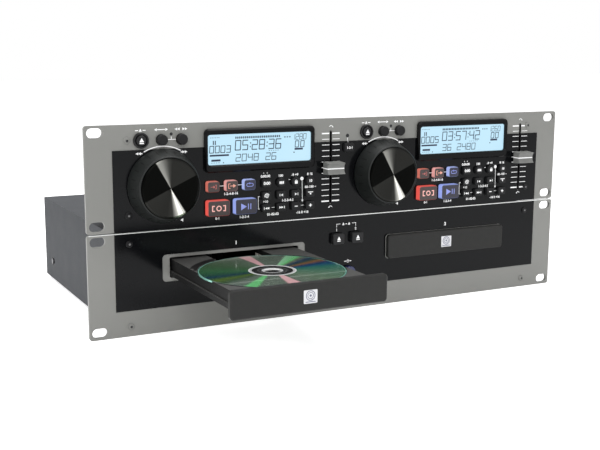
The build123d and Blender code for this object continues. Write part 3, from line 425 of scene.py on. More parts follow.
# Painted highlight: pale bare aluminium for the strip along the lower panel's top edge, also lit by the lamps
# as real metal.
edge_highlight_metal = plated("bare_aluminium_edge_highlight", (0.70, 0.71, 0.70), 0.42, (40.0, 2500.0, 2500.0))
black_key = moulded("matte_black_key", (0.014, 0.014, 0.015), 0.46, 3500.0, 0.00002, 0.25)
soft_key = moulded("silicone_key", (0.015, 0.015, 0.016), 0.6, 2600.0, 0.00003, 0.18)
jog_rubber = moulded("soft_black_jog_ring", (0.009, 0.0105, 0.010), 0.46, 2600.0, 0.00003, 0.24)
bezel_black = moulded("satin_black_bezel", (0.0025, 0.0025, 0.003), 0.22, 3000.0, 0.00001, 0.12)
sleeve_black = moulded("black_sleeve", (0.005, 0.005, 0.006), 0.25, 3000.0, 0.00001, 0.3)
fader_grey = moulded("silver_fader_plastic", (0.225, 0.227, 0.217), 0.48, 2200.0, 0.00003, 0.25)
# The second colour is painted shade for the tray's faces that look left.
tray_black = tray_moulding("tray_plastic", (0.068, 0.068, 0.065), (0.007, 0.007, 0.007))
door_black = moulded("tray_door_plastic", (0.020, 0.020, 0.019), 0.42, 2400.0, 0.00002, 0.2)
acetal = moulded("natural_acetal", (0.66, 0.64, 0.58), 0.4, 1800.0, 0.00002, 0.5)
frame_black = moulded("moulded_black_frame", (0.02, 0.02, 0.021), 0.5)
deep_black = moulded("deep_black_plastic", (0.006, 0.006, 0.0065), 0.5, 3500.0, 0.00002, 0.2)
foot_rubber = moulded("foot_rubber", (0.02, 0.02, 0.02), 0.8, 1500.0, 0.00006, 0.2)
power_blue = moulded("dark_blue_power_key", (0.010, 0.014, 0.085), 0.22, 3000.0, 0.00001, 0.6)
# A grey painted highlight for the screw sockets on the black sheet.
socket_highlight_grey = moulded("screw_socket_painted_highlight", (0.16, 0.16, 0.16), 0.4, 1200.0, 0.00002, 0.5)
# Near-black painted shade, for the finger grooves of the jog rings and the edge of a tray's disc recess.
painted_groove_black = moulded("painted_groove_shade", (0.003, 0.003, 0.003), 0.6, 3500.0, 0.00001, 0.2)
board_green = circuit_board("green_circuit_board")
# The white ink has a faint emission: a painted glow that lifts the print above what the lamps give it.
white_ink_painted_glow = print_ink("white_printing_ink_painted_glow", (0.90, 0.90, 0.90), 0.3)
# Dark ink for the printed lamp windows, and also painted shade in screw sockets and round casing screws.
dark_ink_and_shade = print_ink("dark_ink_and_painted_shade", (0.02, 0.02, 0.022))
segment_ink = print_ink("display_segment", (0.035, 0.045, 0.085))
faint_segment = print_ink("faint_display_segment", (0.20, 0.29, 0.37))
red_light = print_ink("red_lit_legend", (0.80, 0.42, 0.38), 0.5)
salmon_light = print_ink("salmon_lit_legend", (0.72, 0.34, 0.26), 0.4)
dim_red_light = print_ink("dim_red_lit_legend", (0.45, 0.13, 0.12), 0.4)
blue_light = print_ink("blue_lit_legend", (0.24, 0.28, 0.62), 0.45)
label_white = print_ink("white_label", (0.86, 0.86, 0.88))
label_grey = print_ink("grey_label_print", (0.16, 0.17, 0.26))
screen_glow = lit_screen("lit_display")
dark_top = (0.046, 0.034, 0.033)
red_key = lit_key("red_lit_key", (0.80, 0.10, 0.08), dark_top)
salmon_key = lit_key("salmon_lit_key", (0.60, 0.16, 0.12), dark_top)
rose_key = lit_key("rose_lit_key", (0.74, 0.34, 0.32), dark_top)
lilac_key = lit_key("lilac_lit_key", (0.38, 0.46, 0.84), (0.020, 0.020, 0.042))
blue_key = lit_key("blue_lit_key", (0.30, 0.38, 0.82), (0.024, 0.023, 0.036))


def dress(material, *names):
    for name in names:
        nodes[name].data.materials.clear()
        nodes[name].data.materials.append(material)


def dress_nodes():
    """Gives every CAD node its finish."""
    dress(grey_paint, "transport_panel", "controller_panel")
    dress(black_sheet, "panel_overlays")
    dress(case_paint, "transport_chassis", "transport_cover", "controller_case")
    dress(foot_rubber, "feet")
    dress(dark_screw, "case_screws")
    dress(panel_screw, "panel_screws")
    dress(board_green, "transport_boards", "controller_board")
    dress(zinc, "power_supply", "clamp_bridges")
    dress(frame_black, "rear_sockets", "drive_frames")
    dress(bezel_black, "lcd_bezels")
    dress(deep_black, "mains_inlet", "lcd_modules", "fader_bodies")
    dress(soft_key, "relay_key")
    dress(power_blue, "power_key")
    deck, tray_x, tray_out = TRAYS[0]
    dress(pressed_disc("pressed_disc", tray_x, DISC_HOME - tray_out), f"disc_{deck}")
    for deck, centre in DECKS:
        dress(tray_black, f"tray_{deck}")
        dress(door_black, f"tray_door_{deck}")
        dress(acetal, f"loading_gear_{deck}")
        dress(frame_black, f"traverse_{deck}")
        dress(deep_black, f"turntable_{deck}", f"pickup_{deck}")
        dress(jog_rubber, f"jog_ring_{deck}")
        dress(spun_metal_painted_highlights(f"spun_jog_face_{deck}", centre + JOG_X, BASE + JOG_Z), f"jog_disc_{deck}")
        dress(fader_grey, f"fader_cap_{deck}")
        dress(black_key, f"deck_eject_key_{deck}", f"tray_eject_key_{deck}")
        dress(soft_key, f"scratch_key_{deck}", f"search_key_{deck}", f"keypad_{deck}")
        dress(salmon_key, f"loop_in_key_{deck}")
        dress(rose_key, f"loop_out_key_{deck}")
        dress(lilac_key, f"reloop_key_{deck}")
        dress(red_key, f"cue_key_{deck}")
        dress(blue_key, f"play_key_{deck}")


# ================================================================== meshes and pieces
def finished_mesh(name, mesh, material):
    """A mesh with its faces pointing outwards and one material on it."""
    bmesh.ops.recalc_face_normals(mesh, faces=mesh.faces)
    data = bpy.data.meshes.new(name)
    mesh.to_mesh(data)
    mesh.free()
    data.materials.append(material)
    return data


def evaluated_mesh(holder):
    """The plain mesh that an object's modifiers make. The object is removed."""
    evaluated = holder.evaluated_get(bpy.context.evaluated_depsgraph_get())
    data = bpy.data.meshes.new_from_object(evaluated)
    data.name = holder.name
    bpy.data.objects.remove(holder)
    return data


def add_piece(name, data, body):
    piece = link(name, data)
    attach(piece, body)
    return piece


class Print:
    """Marks on a face that looks towards the user, and small blocks: closed solids, made one piece.

    Their places are measured from an origin, (x, z), such as the middle of a key.
    """

    LEAN = 0.08

    def __init__(self, name, y, body, material, slot, origin=(0.0, 0.0)):
        self.name, self.y, self.body, self.material, self.slot = name, y, body, material, slot
        self.origin_x, self.origin_z = origin
        self.mesh = bmesh.new()

    def corners(self, points, y):
        return [self.mesh.verts.new(metres(self.origin_x + x, y, self.origin_z + z)) for x, z in points]

    def polygon(self, points):
        """A flat prism. Its points go anticlockwise as the user sees them."""
        front = self.corners(points, self.y - PRINT)
        back = self.corners(points, self.y)
        self.mesh.faces.new(front)
        self.mesh.faces.new(back[::-1])
        for k in range(len(points)):
            after = (k + 1) % len(points)
            self.mesh.faces.new((front[after], front[k], back[k], back[after]))

    def slab(self, low, high):
        """A block between two corners, each (x, y, z)."""
        low, high = (Vector((self.origin_x + x, y, self.origin_z + z)) * MM for x, y, z in (low, high))
        for vertex in bmesh.ops.create_cube(self.mesh, size=1.0)["verts"]:
            vertex.co = Vector(h if c > 0 else l for c, l, h in zip(vertex.co, low, high))

    def bar(self, x, z, width, height):
        left, right, low, high = x - width / 2, x + width / 2, z - height / 2, z + height / 2
        self.polygon([(left, low), (right, low), (right, high), (left, high)])

    def line(self, points, width):
        """Straight strokes from point to point, each half a width longer at both ends."""
        for (x0, z0), (x1, z1) in zip(points, points[1:]):
            length = math.hypot(x1 - x0, z1 - z0)
            dx, dz = (x1 - x0) / length * width / 2, (z1 - z0) / length * width / 2
            self.polygon(
                [
                    (x0 - dx + dz, z0 - dz - dx),
                    (x1 + dx + dz, z1 + dz - dx),
                    (x1 + dx - dz, z1 + dz + dx),
                    (x0 - dx - dz, z0 - dz + dx),
                ]
            )

    def dot(self, x, z, radius, sides=20):
        angles = [2 * math.pi * k / sides for k in range(sides)]
        self.polygon([(x + radius * math.cos(a), z + radius * math.sin(a)) for a in angles])

    def ring(self, x, z, radius, width, start=0.0, end=360.0, steps=32):
        """Part of a ring, between two angles in degrees, or all of it."""
        near, far = radius - width / 2, radius + width / 2
        angles = [math.radians(start + (end - start) * k / steps) for k in range(steps + 1)]
        for a, b in zip(angles, angles[1:]):
            corners = ((near, a), (far, a), (far, b), (near, b))
            self.polygon([(x + r * math.cos(t), z + r * math.sin(t)) for r, t in corners])

    def wedge(self, x, z, size, turn=0.0):
        """A small triangle that points up, turned anticlockwise by degrees."""
        cos, sin = math.cos(math.radians(turn)), math.sin(math.radians(turn))
        corners = ((-0.55, -0.45), (0.55, -0.45), (0.0, 0.55))
        self.polygon([(x + size * (a * cos - b * sin), z + size * (a * sin + b * cos)) for a, b in corners])

    def number(self, text, x, z, height):
        """Plain numerals or signs, centred on their place."""
        curve = bpy.data.curves.new(self.name, "FONT")
        curve.body = text
        curve.size = height * MM * 1.35
        curve.align_x = "CENTER"
        curve.align_y = "CENTER"
        curve.extrude = PRINT * MM / 2
        curve.resolution_u = 3
        curve.offset = height * MM * 0.05
        holder = bpy.data.objects.new(self.name, curve)
        made = bpy.data.meshes.new_from_object(holder)
        place = Vector((self.origin_x + x, self.y - PRINT / 2, self.origin_z + z)) * MM
        made.transform(Matrix.Translation(place) @ Matrix.Rotation(math.pi / 2, 4, "X"))
        self.mesh.from_mesh(made)
        bpy.data.objects.remove(holder)
        bpy.data.curves.remove(curve)
        bpy.data.meshes.remove(made)

    def digit(self, sign, x, z, width, height, stroke):
        """One seven-segment numeral with its left lower corner at x, z, leaning slightly."""
        lit = {
            "0": "abcdef", "1": "bc", "2": "abged", "3": "abgcd", "4": "fgbc",
            "5": "afgcd", "6": "afgedc", "7": "abc", "8": "abcdefg", "9": "abcdfg",
        }[sign]
        middle, gap = height / 2, stroke * 0.35
        ends = {
            "a": ((gap, height), (width - gap, height)),
            "b": ((width, height - gap), (width, middle + gap)),
            "c": ((width, middle - gap), (width, gap)),
            "d": ((gap, 0.0), (width - gap, 0.0)),
            "e": ((0.0, middle - gap), (0.0, gap)),
            "f": ((0.0, height - gap), (0.0, middle + gap)),
            "g": ((gap, middle), (width - gap, middle)),
        }
        for segment in lit:
            self.line([(x + px + pz * self.LEAN, z + pz) for px, pz in ends[segment]], stroke)

    def readout(self, text, x, z, width, height, pitch, stroke):
        """A row of seven-segment numerals. A colon takes a third of a place."""
        for sign in text:
            if sign == ":":
                for up in (0.3 * height, 0.7 * height):
                    self.bar(x + pitch * 0.08 + up * self.LEAN, z + up, stroke * 1.2, stroke * 1.2)
                x += pitch * 0.34
            else:
                if sign != " ":
                    self.digit(sign, x, z, width, height, stroke)
                x += pitch

    def finish(self):
        data = finished_mesh(self.name, self.mesh, self.material)
        return add_piece(self.name, data, self.body)


# ================================================================== repeated pieces
def node_tree(name, inputs):
    """A geometry tree with named inputs, and its group nodes."""
    tree = bpy.data.node_groups.new(name, "GeometryNodeTree")
    for label, kind in inputs.items():
        tree.interface.new_socket(label, in_out="INPUT", socket_type="NodeSocket" + kind)
    tree.interface.new_socket("Geometry", in_out="OUTPUT", socket_type="NodeSocketGeometry")
    return tree, tree.nodes.new("NodeGroupInput"), tree.nodes.new("NodeGroupOutput")


def wire(tree, *links):
    """Links sockets, each from an output to an input."""
    for source, target in links:
        tree.links.new(source, target)


def end_tree(tree, given, taken, instances):
    """Realize Instances and Set Material, then the output."""
    realize = tree.nodes.new("GeometryNodeRealizeInstances")
    paint = tree.nodes.new("GeometryNodeSetMaterial")
    wire(
        tree,
        (instances, realize.inputs[0]),
        (realize.outputs[0], paint.inputs["Geometry"]),
        (given.outputs["Material"], paint.inputs["Material"]),
        (paint.outputs[0], taken.inputs[0]),
    )


def bar_row_tree():
    """Equal bars along a line, as on a fader's scale or a level display."""
    inputs = {"Count": "Int", "Start": "Vector", "Step": "Vector", "Size": "Vector", "Material": "Material"}
    tree, given, taken = node_tree("bar_row", inputs)
    line = tree.nodes.new("GeometryNodeMeshLine")
    line.mode = "OFFSET"
    bar = tree.nodes.new("GeometryNodeMeshCube")
    copies = tree.nodes.new("GeometryNodeInstanceOnPoints")
    wire(
        tree,
        (given.outputs["Count"], line.inputs["Count"]),
        (given.outputs["Start"], line.inputs["Start Location"]),
        (given.outputs["Step"], line.inputs["Offset"]),
        (given.outputs["Size"], bar.inputs["Size"]),
        (line.outputs[0], copies.inputs["Points"]),
        (bar.outputs[0], copies.inputs["Instance"]),
    )
    end_tree(tree, given, taken, copies.outputs[0])
    return tree


def finger_ring_tree():
    """Short bars set around a cone, each along the cone's slope, about the Y axis."""
    inputs = {
        "Count": "Int", "Radius": "Float", "Slope": "Float", "Size": "Vector", "Centre": "Vector",
        "Material": "Material",
    }
    tree, given, taken = node_tree("finger_ring", inputs)
    bar = tree.nodes.new("GeometryNodeMeshCube")
    lean = tree.nodes.new("GeometryNodeTransform")
    turn = tree.nodes.new("ShaderNodeCombineXYZ")
    circle = tree.nodes.new("GeometryNodeMeshCircle")
    stand = tree.nodes.new("GeometryNodeTransform")
    stand.inputs["Rotation"].default_value = (math.pi / 2, 0.0, 0.0)
    index = tree.nodes.new("GeometryNodeInputIndex")
    step = tree.nodes.new("ShaderNodeMath")
    step.operation = "DIVIDE"
    step.inputs[0].default_value = 2 * math.pi
    angle = tree.nodes.new("ShaderNodeMath")
    angle.operation = "MULTIPLY"
    spin = tree.nodes.new("ShaderNodeCombineXYZ")
    copies = tree.nodes.new("GeometryNodeInstanceOnPoints")
    wire(
        tree,
        (given.outputs["Size"], bar.inputs["Size"]),
        (bar.outputs[0], lean.inputs["Geometry"]),
        (given.outputs["Slope"], turn.inputs[1]),
        (turn.outputs[0], lean.inputs["Rotation"]),
        (given.outputs["Count"], circle.inputs["Vertices"]),
        (given.outputs["Radius"], circle.inputs["Radius"]),
        (given.outputs["Count"], step.inputs[1]),
        (index.outputs[0], angle.inputs[0]),
        (step.outputs[0], angle.inputs[1]),
        (angle.outputs[0], spin.inputs[2]),
        (circle.outputs[0], copies.inputs["Points"]),
        (lean.outputs[0], copies.inputs["Instance"]),
        (spin.outputs[0], copies.inputs["Rotation"]),
        (copies.outputs[0], stand.inputs["Geometry"]),
        (given.outputs["Centre"], stand.inputs["Translation"]),
    )
    end_tree(tree, given, taken, stand.outputs[0])
    return tree


def grow(tree, name, body, slot, **values):
    """Runs a geometry tree once and keeps its plain mesh as a piece on a body."""
    piece = link(name, bpy.data.meshes.new(name))
    modifier = piece.modifiers.new("grow", "NODES")
    modifier.node_group = tree
    sockets = {item.name: item.identifier for item in tree.interface.items_tree if item.in_out == "INPUT"}
    for label, value in values.items():
        modifier[sockets[label]] = value
    return add_piece(name, evaluated_mesh(piece), body)


def revolved(name, profile, x, z, material, body, steps):
    """A closed ring about an axis along Y. The profile is (radius, y) and closes on itself."""
    mesh = bmesh.new()
    rows = []
    for k in range(steps):
        across, up = math.cos(2 * math.pi * k / steps), math.sin(2 * math.pi * k / steps)
        rows.append([mesh.verts.new(metres(x + r * across, y, z + r * up)) for r, y in profile])
    for row, following in zip(rows, rows[1:] + rows[:1]):
        for k in range(len(profile)):
            after = (k + 1) % len(profile)
            mesh.faces.new((row[k], row[after], following[after], following[k]))
    return add_piece(name, finished_mesh(name, mesh, material), body)


# ================================================================== the panels' printing
def print_fader_scales(tree):
    """Eleven fine ticks each side of each fader. The broad ones at its ends come with the deck's marks."""
    pitch, top = 5.08, BASE + 74.7
    for deck, centre in DECKS:
        for side, middle, width in (("left", 84.75, 7.5), ("right", 95.35, 7.3)):
            grow(
                tree,
                f"fader_ticks_{side}_{deck}",
                "root_frame",
                "black_overlay",
                Count=11,
                Start=metres(centre + middle, OVERLAY_FRONT - PRINT / 2, top - pitch),
                Step=metres(0, 0, -pitch),
                Size=metres(width, PRINT, 0.55),
                Material=white_ink_painted_glow,
            )


def fader_end_ticks(marks, z):
    """A broad tick each side of a fader, at one end of it."""
    for side in (-1, 1):
        marks.bar(FADER_X + 0.05 + side * 5.3, z, 7.6, 1.2)


def print_controller(deck, centre):
    """The white marks of one deck on the black overlay, and those on the grey band above it."""
    origin = (centre, BASE)
    on_sheet = Print(f"deck_print_{deck}", OVERLAY_FRONT, "root_frame", white_ink_painted_glow, "black_overlay", origin)
    for start, end, steps in ((61.0, 90.0, 16), (90.0, 112.0, 8), (112.0, 119.0, 4)):
        on_sheet.ring(JOG_X, JOG_Z, 33.0, 0.9, start, end, steps)
    on_sheet.wedge(JOG_X + 16.6, JOG_Z - 29.6, 2.6, -30.0)
    for way, x in ((-1, -89.4), (1, -49.2)):
        for k in (-1.1, 1.1):
            on_sheet.wedge(x + k, 64.2, 2.3, -90.0 * way)
        on_sheet.bar(x - way * 2.9, 64.2, 1.2, 0.9)
    for left, right in zip(LOOP_X, LOOP_X[1:]):
        on_sheet.line([(left + 5.9, LOOP_Z), (right - 5.9, LOOP_Z)], FINE)
    captions = (
        ("0:00:00", 25.3, 39.5), ("100", 40.0, 39.2), ("-9 +9", 54.0, 39.4), ("8 16", 68.9, 39.3),
        ("60-180", 68.4, 27.8), ("1-2-4-8-16", -7.6, 26.3), ("0-1", -20.2, 5.5), ("1-2-3-4", 4.8, 5.2),
        ("+10", 25.3, 17.1), ("1-2-3-4-5", 46.9, 17.2), ("01-02-03", 32.5, 5.6), ("-16 0 +16", 61.6, 5.4),
    )
    caption_height = 2.3
    for text, x, z in captions:
        on_sheet.number(text, x, z, caption_height)
    for x in (23.6, 27.0):
        on_sheet.bar(x, 42.4, 0.7, 0.7)
    on_sheet.line([(19.7, 22.1), (18.3, 22.1), (18.3, 11.1), (19.7, 11.1)], FINE)
    on_sheet.dot(61.0, 35.6, 1.6)
    on_sheet.line([(61.2, 35.0), (61.5, 16.6)], FINE)
    on_sheet.wedge(61.5, 15.8, 1.8, 180.0)
    dashes = ((35.4, 1.2, (48.0, 65.0)), (27.9, 0.5, (73.9, 74.6)), (11.7, 2.4, (31.4, 60.2)))
    for z, length, starts in dashes:
        for x in starts:
            on_sheet.line([(x, z), (x + length, z)], FINE)
    fader_end_ticks(on_sheet, 13.7)
    on_sheet.ring(90.4, 7.4, 1.7, 0.55, 20.0, 160.0, 8)
    on_sheet.wedge(88.6, 8.0, 1.2, 20.0)
    on_sheet.finish()

    on_band = Print(f"band_print_{deck}", PANEL_FRONT, "root_frame", white_ink_painted_glow, "grey_panel", origin)
    eject_x, scratch_x, search_x = ROUND_X
    sign_z, lamp_x = 83.3, (scratch_x + search_x) / 2
    on_band.wedge(eject_x, sign_z + 0.2, 2.0)
    on_band.bar(eject_x, sign_z - 1.1, 2.3, 0.5)
    for side in (-1, 1):
        on_band.bar(eject_x + side * 3.2, sign_z - 0.2, 2.6, 0.7)
        on_band.wedge(scratch_x + side * 4.8, sign_z, 2.2, -90.0 * side)
        for k in (2.2, 4.4):
            on_band.wedge(search_x + side * k, sign_z, 2.2, -90.0 * side)
    on_band.bar(scratch_x, sign_z, 7.2, 0.7)
    on_band.line([(lamp_x - 3.8, ROUND_Z), (lamp_x + 3.8, ROUND_Z)], 0.5)
    on_band.line([(lamp_x, ROUND_Z), (lamp_x, ROUND_Z + 2.2)], 0.5)
    fader_end_ticks(on_band, 74.7)
    on_band.ring(90.3, 80.0, 1.7, 0.55, 20.0, 160.0, 8)
    on_band.wedge(92.1, 80.5, 1.2, -20.0)
    on_band.finish()

    lamp = Print(f"band_lamp_{deck}", PANEL_FRONT, "root_frame", dark_ink_and_shade, "grey_panel", origin)
    lamp.dot(lamp_x, 79.4, 1.3)
    lamp.finish()


def print_centre():
    """The relay key's lamp, and the line that leads up to it over the sheet and the band."""
    origin = (0.0, BASE)
    line = Print("relay_print", OVERLAY_FRONT, "root_frame", white_ink_painted_glow, "black_overlay", origin)
    line.line([(0.8, 66.2), (0.6, 67.2)], FINE)
    line.finish()
    stem = Print("relay_stem", PANEL_FRONT, "root_frame", white_ink_painted_glow, "grey_panel", origin)
    stem.line([(0.5, 67.6), (0.4, 70.2)], FINE)
    stem.finish()
    lamp = Print("relay_lamp", PANEL_FRONT, "root_frame", dark_ink_and_shade, "grey_panel", origin)
    lamp.dot(0.3, 72.1, 1.7)
    lamp.finish()


def print_transport():
    """The lower panel's marks: a number for each tray, a bracket over the eject keys, a power sign."""
    marks = Print("transport_print", OVERLAY_FRONT, "root_frame", white_ink_painted_glow, "black_overlay")
    for text, side in (("1", -1), ("2", 1)):
        marks.number(text, side * 110.0, 71.9, 3.2)
        marks.number(text, side * EJECT_X, 75.2, 2.4)
        marks.line([(side * 6.2, 80.6), (side * EJECT_X, 80.6), (side * EJECT_X, 78.0)], FINE)
        marks.wedge(side * 3.0, 80.7, 1.9)
        marks.bar(side * 3.0, 79.5, 2.2, 0.45)
    marks.bar(0.0, 80.2, 1.6, 0.6)
    x, z = POWER_X - 0.4, POWER_Z + 10.3
    marks.ring(x, z - 0.1, 1.15, FINE, 120.0, 420.0, 20)
    marks.line([(x, z), (x, z + 1.5)], FINE)
    for side in (-1, 1):
        marks.bar(x + side * 2.8, z, 1.8, 0.7)
    marks.finish()


# ================================================================== edges, screws and sleeves
def make_eject_sleeve(deck, centre):
    """The black sleeve on the collar that guards a deck's eject key."""
    profile = (
        (4.5, 0.0), (4.5, -0.15), (5.1, -0.15), (5.1, -2.1),
        (5.3, -2.32), (6.3, -2.32), (6.52, -2.1), (6.52, 0.0),
    )
    x, z = centre + ROUND_X[0], BASE + ROUND_Z
    revolved(f"eject_sleeve_{deck}", profile, x, z, sleeve_black, "root_frame", 48)


def make_edge_highlight():
    """A painted highlight along the lower panel's top edge: a thin strip of pale bare aluminium, which the
    lamps also light, where its paint and sheet end.
    """
    panel_end, sheet_end, top, height = 239.8, 218.5, 88.1, 0.65
    edge = Print("lower_panel_edge_highlight", PANEL_FRONT, "root_frame", edge_highlight_metal, "grey_panel")
    for start, end, face in (
        (-panel_end, -sheet_end, PANEL_FRONT),
        (-sheet_end, sheet_end, OVERLAY_FRONT),
        (sheet_end, panel_end, PANEL_FRONT),
    ):
        edge.slab((start, face - PRINT, top - height), (end, face, top))
    edge.finish()


def make_screw_recesses():
    """Painted shade in the sockets of the panel screws on the band, painted highlights in the sockets of
    those on the sheet, and rings of painted shade in the dimples round the screws on the casing's sides.
    """
    screw_x, head_out = 206.0, 1.5
    # Dark dots of painted shade stand for the sockets of the screws on the band.
    on_band = Print("band_screw_socket_shade", PANEL_FRONT - head_out, "root_frame", dark_ink_and_shade, "screw_steel")
    # Grey dots of painted highlight stand for the sockets of the screws on the sheet.
    on_sheet = Print("sheet_screw_socket_highlight", OVERLAY_FRONT - head_out, "root_frame", socket_highlight_grey, "screw_steel")
    for side in (-1, 1):
        for z in (8.5, 164.0):
            on_band.dot(side * screw_x, z, 1.15, 6)
        for z in (78.7, 102.4):
            on_sheet.dot(side * screw_x, z, 0.95, 6)
    on_band.finish()
    on_sheet.finish()
    # A ring of painted shade in the dimple round each screw on the casing's sides.
    profile = ((3.1, 0.0), (5.0, -0.5), (5.6, -0.5), (5.6, -0.54), (5.0, -0.54), (3.1, -0.06))
    for side, name in ((-1, "left"), (1, "right")):
        name = f"casing_screw_dimple_shade_{name}"
        seat = revolved(name, profile, 0.0, 0.0, dark_ink_and_shade, "root_frame", 32)
        place = Vector((side * 214.5, 226.0, 22.0)) * MM
        seat.data.transform(Matrix.Translation(place) @ Matrix.Rotation(math.pi / 2 * side, 4, "Z"))


def make_slot_black_sides(deck, centre):
    """Thin black slabs along both sides inside a fader's slot."""
    half_length, sides_front, sides_back = 32.4, OVERLAY_FRONT - 0.02, 3.0
    origin = (centre + FADER_X, BASE + FADER_Z)
    name = f"fader_slot_black_sides_{deck}"
    black_sides = Print(name, OVERLAY_FRONT, "root_frame", sleeve_black, "black_plastic", origin)
    for side in (-1, 1):
        low, high = sorted((side * 0.86, side * 0.95))
        black_sides.slab((low, sides_front, -half_length), (high, sides_back, half_length))
    black_sides.finish()


def make_controller_cover():
    """The controller's folded cover. Its top slopes down to the back, out of sight behind the panel."""
    outer = ((3.0, 91.9), (79.0, 91.9), (79.0, 150.0), (44.0, 154.5), (20.0, 174.0), (3.0, 174.0))
    inner = ((3.0, 92.9), (78.0, 92.9), (78.0, 149.1), (43.6, 153.5), (19.6, 173.0), (3.0, 173.0))
    half_width, sheet, last = 215.0, 1.0, len(outer) - 1
    mesh = bmesh.new()
    skins = []
    for profile, half in ((outer, half_width), (inner, half_width - sheet)):
        left, right = ([mesh.verts.new(metres(side * half, y, z)) for y, z in profile] for side in (-1, 1))
        mesh.faces.new(left)
        mesh.faces.new(right)
        for k in range(last):
            mesh.faces.new((left[k], left[k + 1], right[k + 1], right[k]))
        skins.append((left, right))
    (out_left, out_right), (in_left, in_right) = skins
    for out, within in zip(*skins):
        mesh.faces.new((out[0], out[last], within[last], within[0]))
    for k in (0, last):
        mesh.faces.new((out_left[k], out_right[k], in_right[k], in_left[k]))
    cover = link("controller_cover", finished_mesh("controller_cover", mesh, case_paint))
    bend = cover.modifiers.new("bends", "BEVEL")
    bend.width = 0.4 * MM
    bend.segments = 2
    bend.limit_method = "ANGLE"
    cover = add_piece("controller_cover", evaluated_mesh(cover), "root_frame")
    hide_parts("controller_case")


# ================================================================== key legends
def eject_sign(marks, z, size):
    """A triangle over a bar."""
    marks.wedge(0.0, z + size * 0.18, size)
    marks.bar(0.0, z - size * 0.55, size * 1.05, size * 0.22)


def skip_sign(marks, x, z, way, count):
    """Triangles and a bar, pointing left for -1 and right for 1."""
    size = 2.4
    for k in range(count):
        marks.wedge(x + way * size * (k * 0.8 - 0.4 * count + 0.25), z, size * 0.85, -90.0 * way)
    marks.bar(x + way * size * (0.4 * count + 0.3), z, size * 0.22, size * 0.95)


def print_keys(deck, centre):
    """The legends of one deck's keys, as plain signs."""

    def sign(name, key, out, material, slot, x, z):
        """A piece on a key's face, measured from a place on the deck."""
        origin = (centre + x, BASE + z)
        return Print(f"{name}_{deck}", OVERLAY_FRONT - out, f"{key}_{deck}", material, slot, origin)

    eject = sign("eject_sign", "deck_eject_key", EJECT_OUT, white_ink_painted_glow, "key_plastic", ROUND_X[0], ROUND_Z)
    eject_sign(eject, -0.2, 3.6)
    eject.finish()

    into = sign("loop_in_sign", "loop_in_key", LOOP_OUT, dim_red_light, "lit_key_red", LOOP_X[0], LOOP_Z)
    into.line([(1.4, 1.6), (2.6, 1.6), (2.6, -1.6), (1.4, -1.6)], 0.45)
    into.wedge(0.6, 0.0, 2.0, -90.0)
    into.bar(-1.5, 0.0, 2.4, 0.45)
    into.finish()
    out = sign("loop_out_sign", "loop_out_key", LOOP_OUT, salmon_light, "lit_key_red", LOOP_X[1], LOOP_Z)
    out.line([(-1.8, 1.9), (-3.2, 1.9), (-3.2, -1.9), (-1.8, -1.9)], 0.55)
    out.wedge(2.4, 0.0, 2.8, -90.0)
    out.bar(-0.2, 0.0, 3.0, 0.6)
    out.finish()
    again = sign("reloop_sign", "reloop_key", LOOP_OUT, blue_light, "lit_key_blue", LOOP_X[2], LOOP_Z)
    for side, start in ((-1, 180.0), (1, 0.0)):
        again.line([(-1.8, 1.3 * side), (1.8, 1.3 * side)], 0.5)
        again.ring(1.8 * side, 0.0, 1.3, 0.5, start - 90.0, start + 90.0, 10)
    again.wedge(0.2, 1.3, 1.7, -90.0)
    again.finish()

    cue = sign("cue_sign", "cue_key", CUE_OUT, red_light, "lit_key_red", CUE_X, CUE_Z)
    cue.ring(0.0, 0.0, 2.0, 0.9, steps=28)
    for side in (-1, 1):
        cue.bar(side * 5.9, 0.0, 0.95, 5.2)
        for end in (-2.15, 2.15):
            cue.bar(side * 4.7, end, 1.8, 0.9)
    cue.finish()
    play = sign("play_sign", "play_key", CUE_OUT, blue_light, "lit_key_blue", PLAY_X, CUE_Z)
    play.wedge(-2.4, 0.0, 5.4, -90.0)
    for x in (2.0, 4.3):
        play.bar(x, 0.0, 0.75, 5.0)
    play.finish()

    pad = sign("keypad_signs", "keypad", SMALL_KEY_OUT, white_ink_painted_glow, "silicone", 0.0, 0.0)
    top, middle, bottom = PAD_Z
    first, second, third, fourth = PAD_X
    pad.number("0:00", first, top, 2.7)
    for x in (-1.5, 0.0, 1.5):
        pad.bar(second + x, top, 1.2, 2.3)
    pad.bar(third, top - 0.7, 2.8, 2.2)
    pad.ring(third, top + 0.4, 1.0, 0.5, 0.0, 180.0, 12)
    pad.number("10", fourth, top, 2.4)
    pad.ring(first, middle - 0.2, 1.3, 0.5, steps=20)
    pad.dot(first, middle - 0.2, 0.5)
    pad.ring(first, middle - 0.2, 2.2, 0.5, 20.0, 200.0, 14)
    skip_sign(pad, second, middle, -1, 1)
    skip_sign(pad, third, middle, 1, 1)
    pad.bar(fourth, middle + 1.0, 5.0, 0.7)
    pad.wedge(fourth, middle - 0.7, 1.9, 180.0)
    skip_sign(pad, first, bottom, -1, 2)
    skip_sign(pad, second, bottom, 1, 2)
    pad.bar(third, bottom, 3.0, 0.75)
    pad.bar(fourth, bottom, 3.0, 0.75)
    pad.bar(fourth, bottom, 0.75, 3.0)
    pad.finish()

    tray_eject = Print(
        f"tray_eject_sign_{deck}",
        OVERLAY_FRONT - TRAY_EJECT_OUT,
        f"tray_eject_key_{deck}",
        white_ink_painted_glow,
        "key_plastic",
        (math.copysign(EJECT_X, centre), EJECT_Z),
    )
    eject_sign(tray_eject, 0.0, 3.4)
    tray_eject.finish()


def print_relay_key():
    """A plain sign on the key between the decks."""
    relay = Print("relay_sign", OVERLAY_FRONT - SMALL_KEY_OUT, "relay_key", white_ink_painted_glow, "key_plastic")
    relay.number("1-2-1", 1.0, BASE + 61.4, 2.2)
    relay.finish()


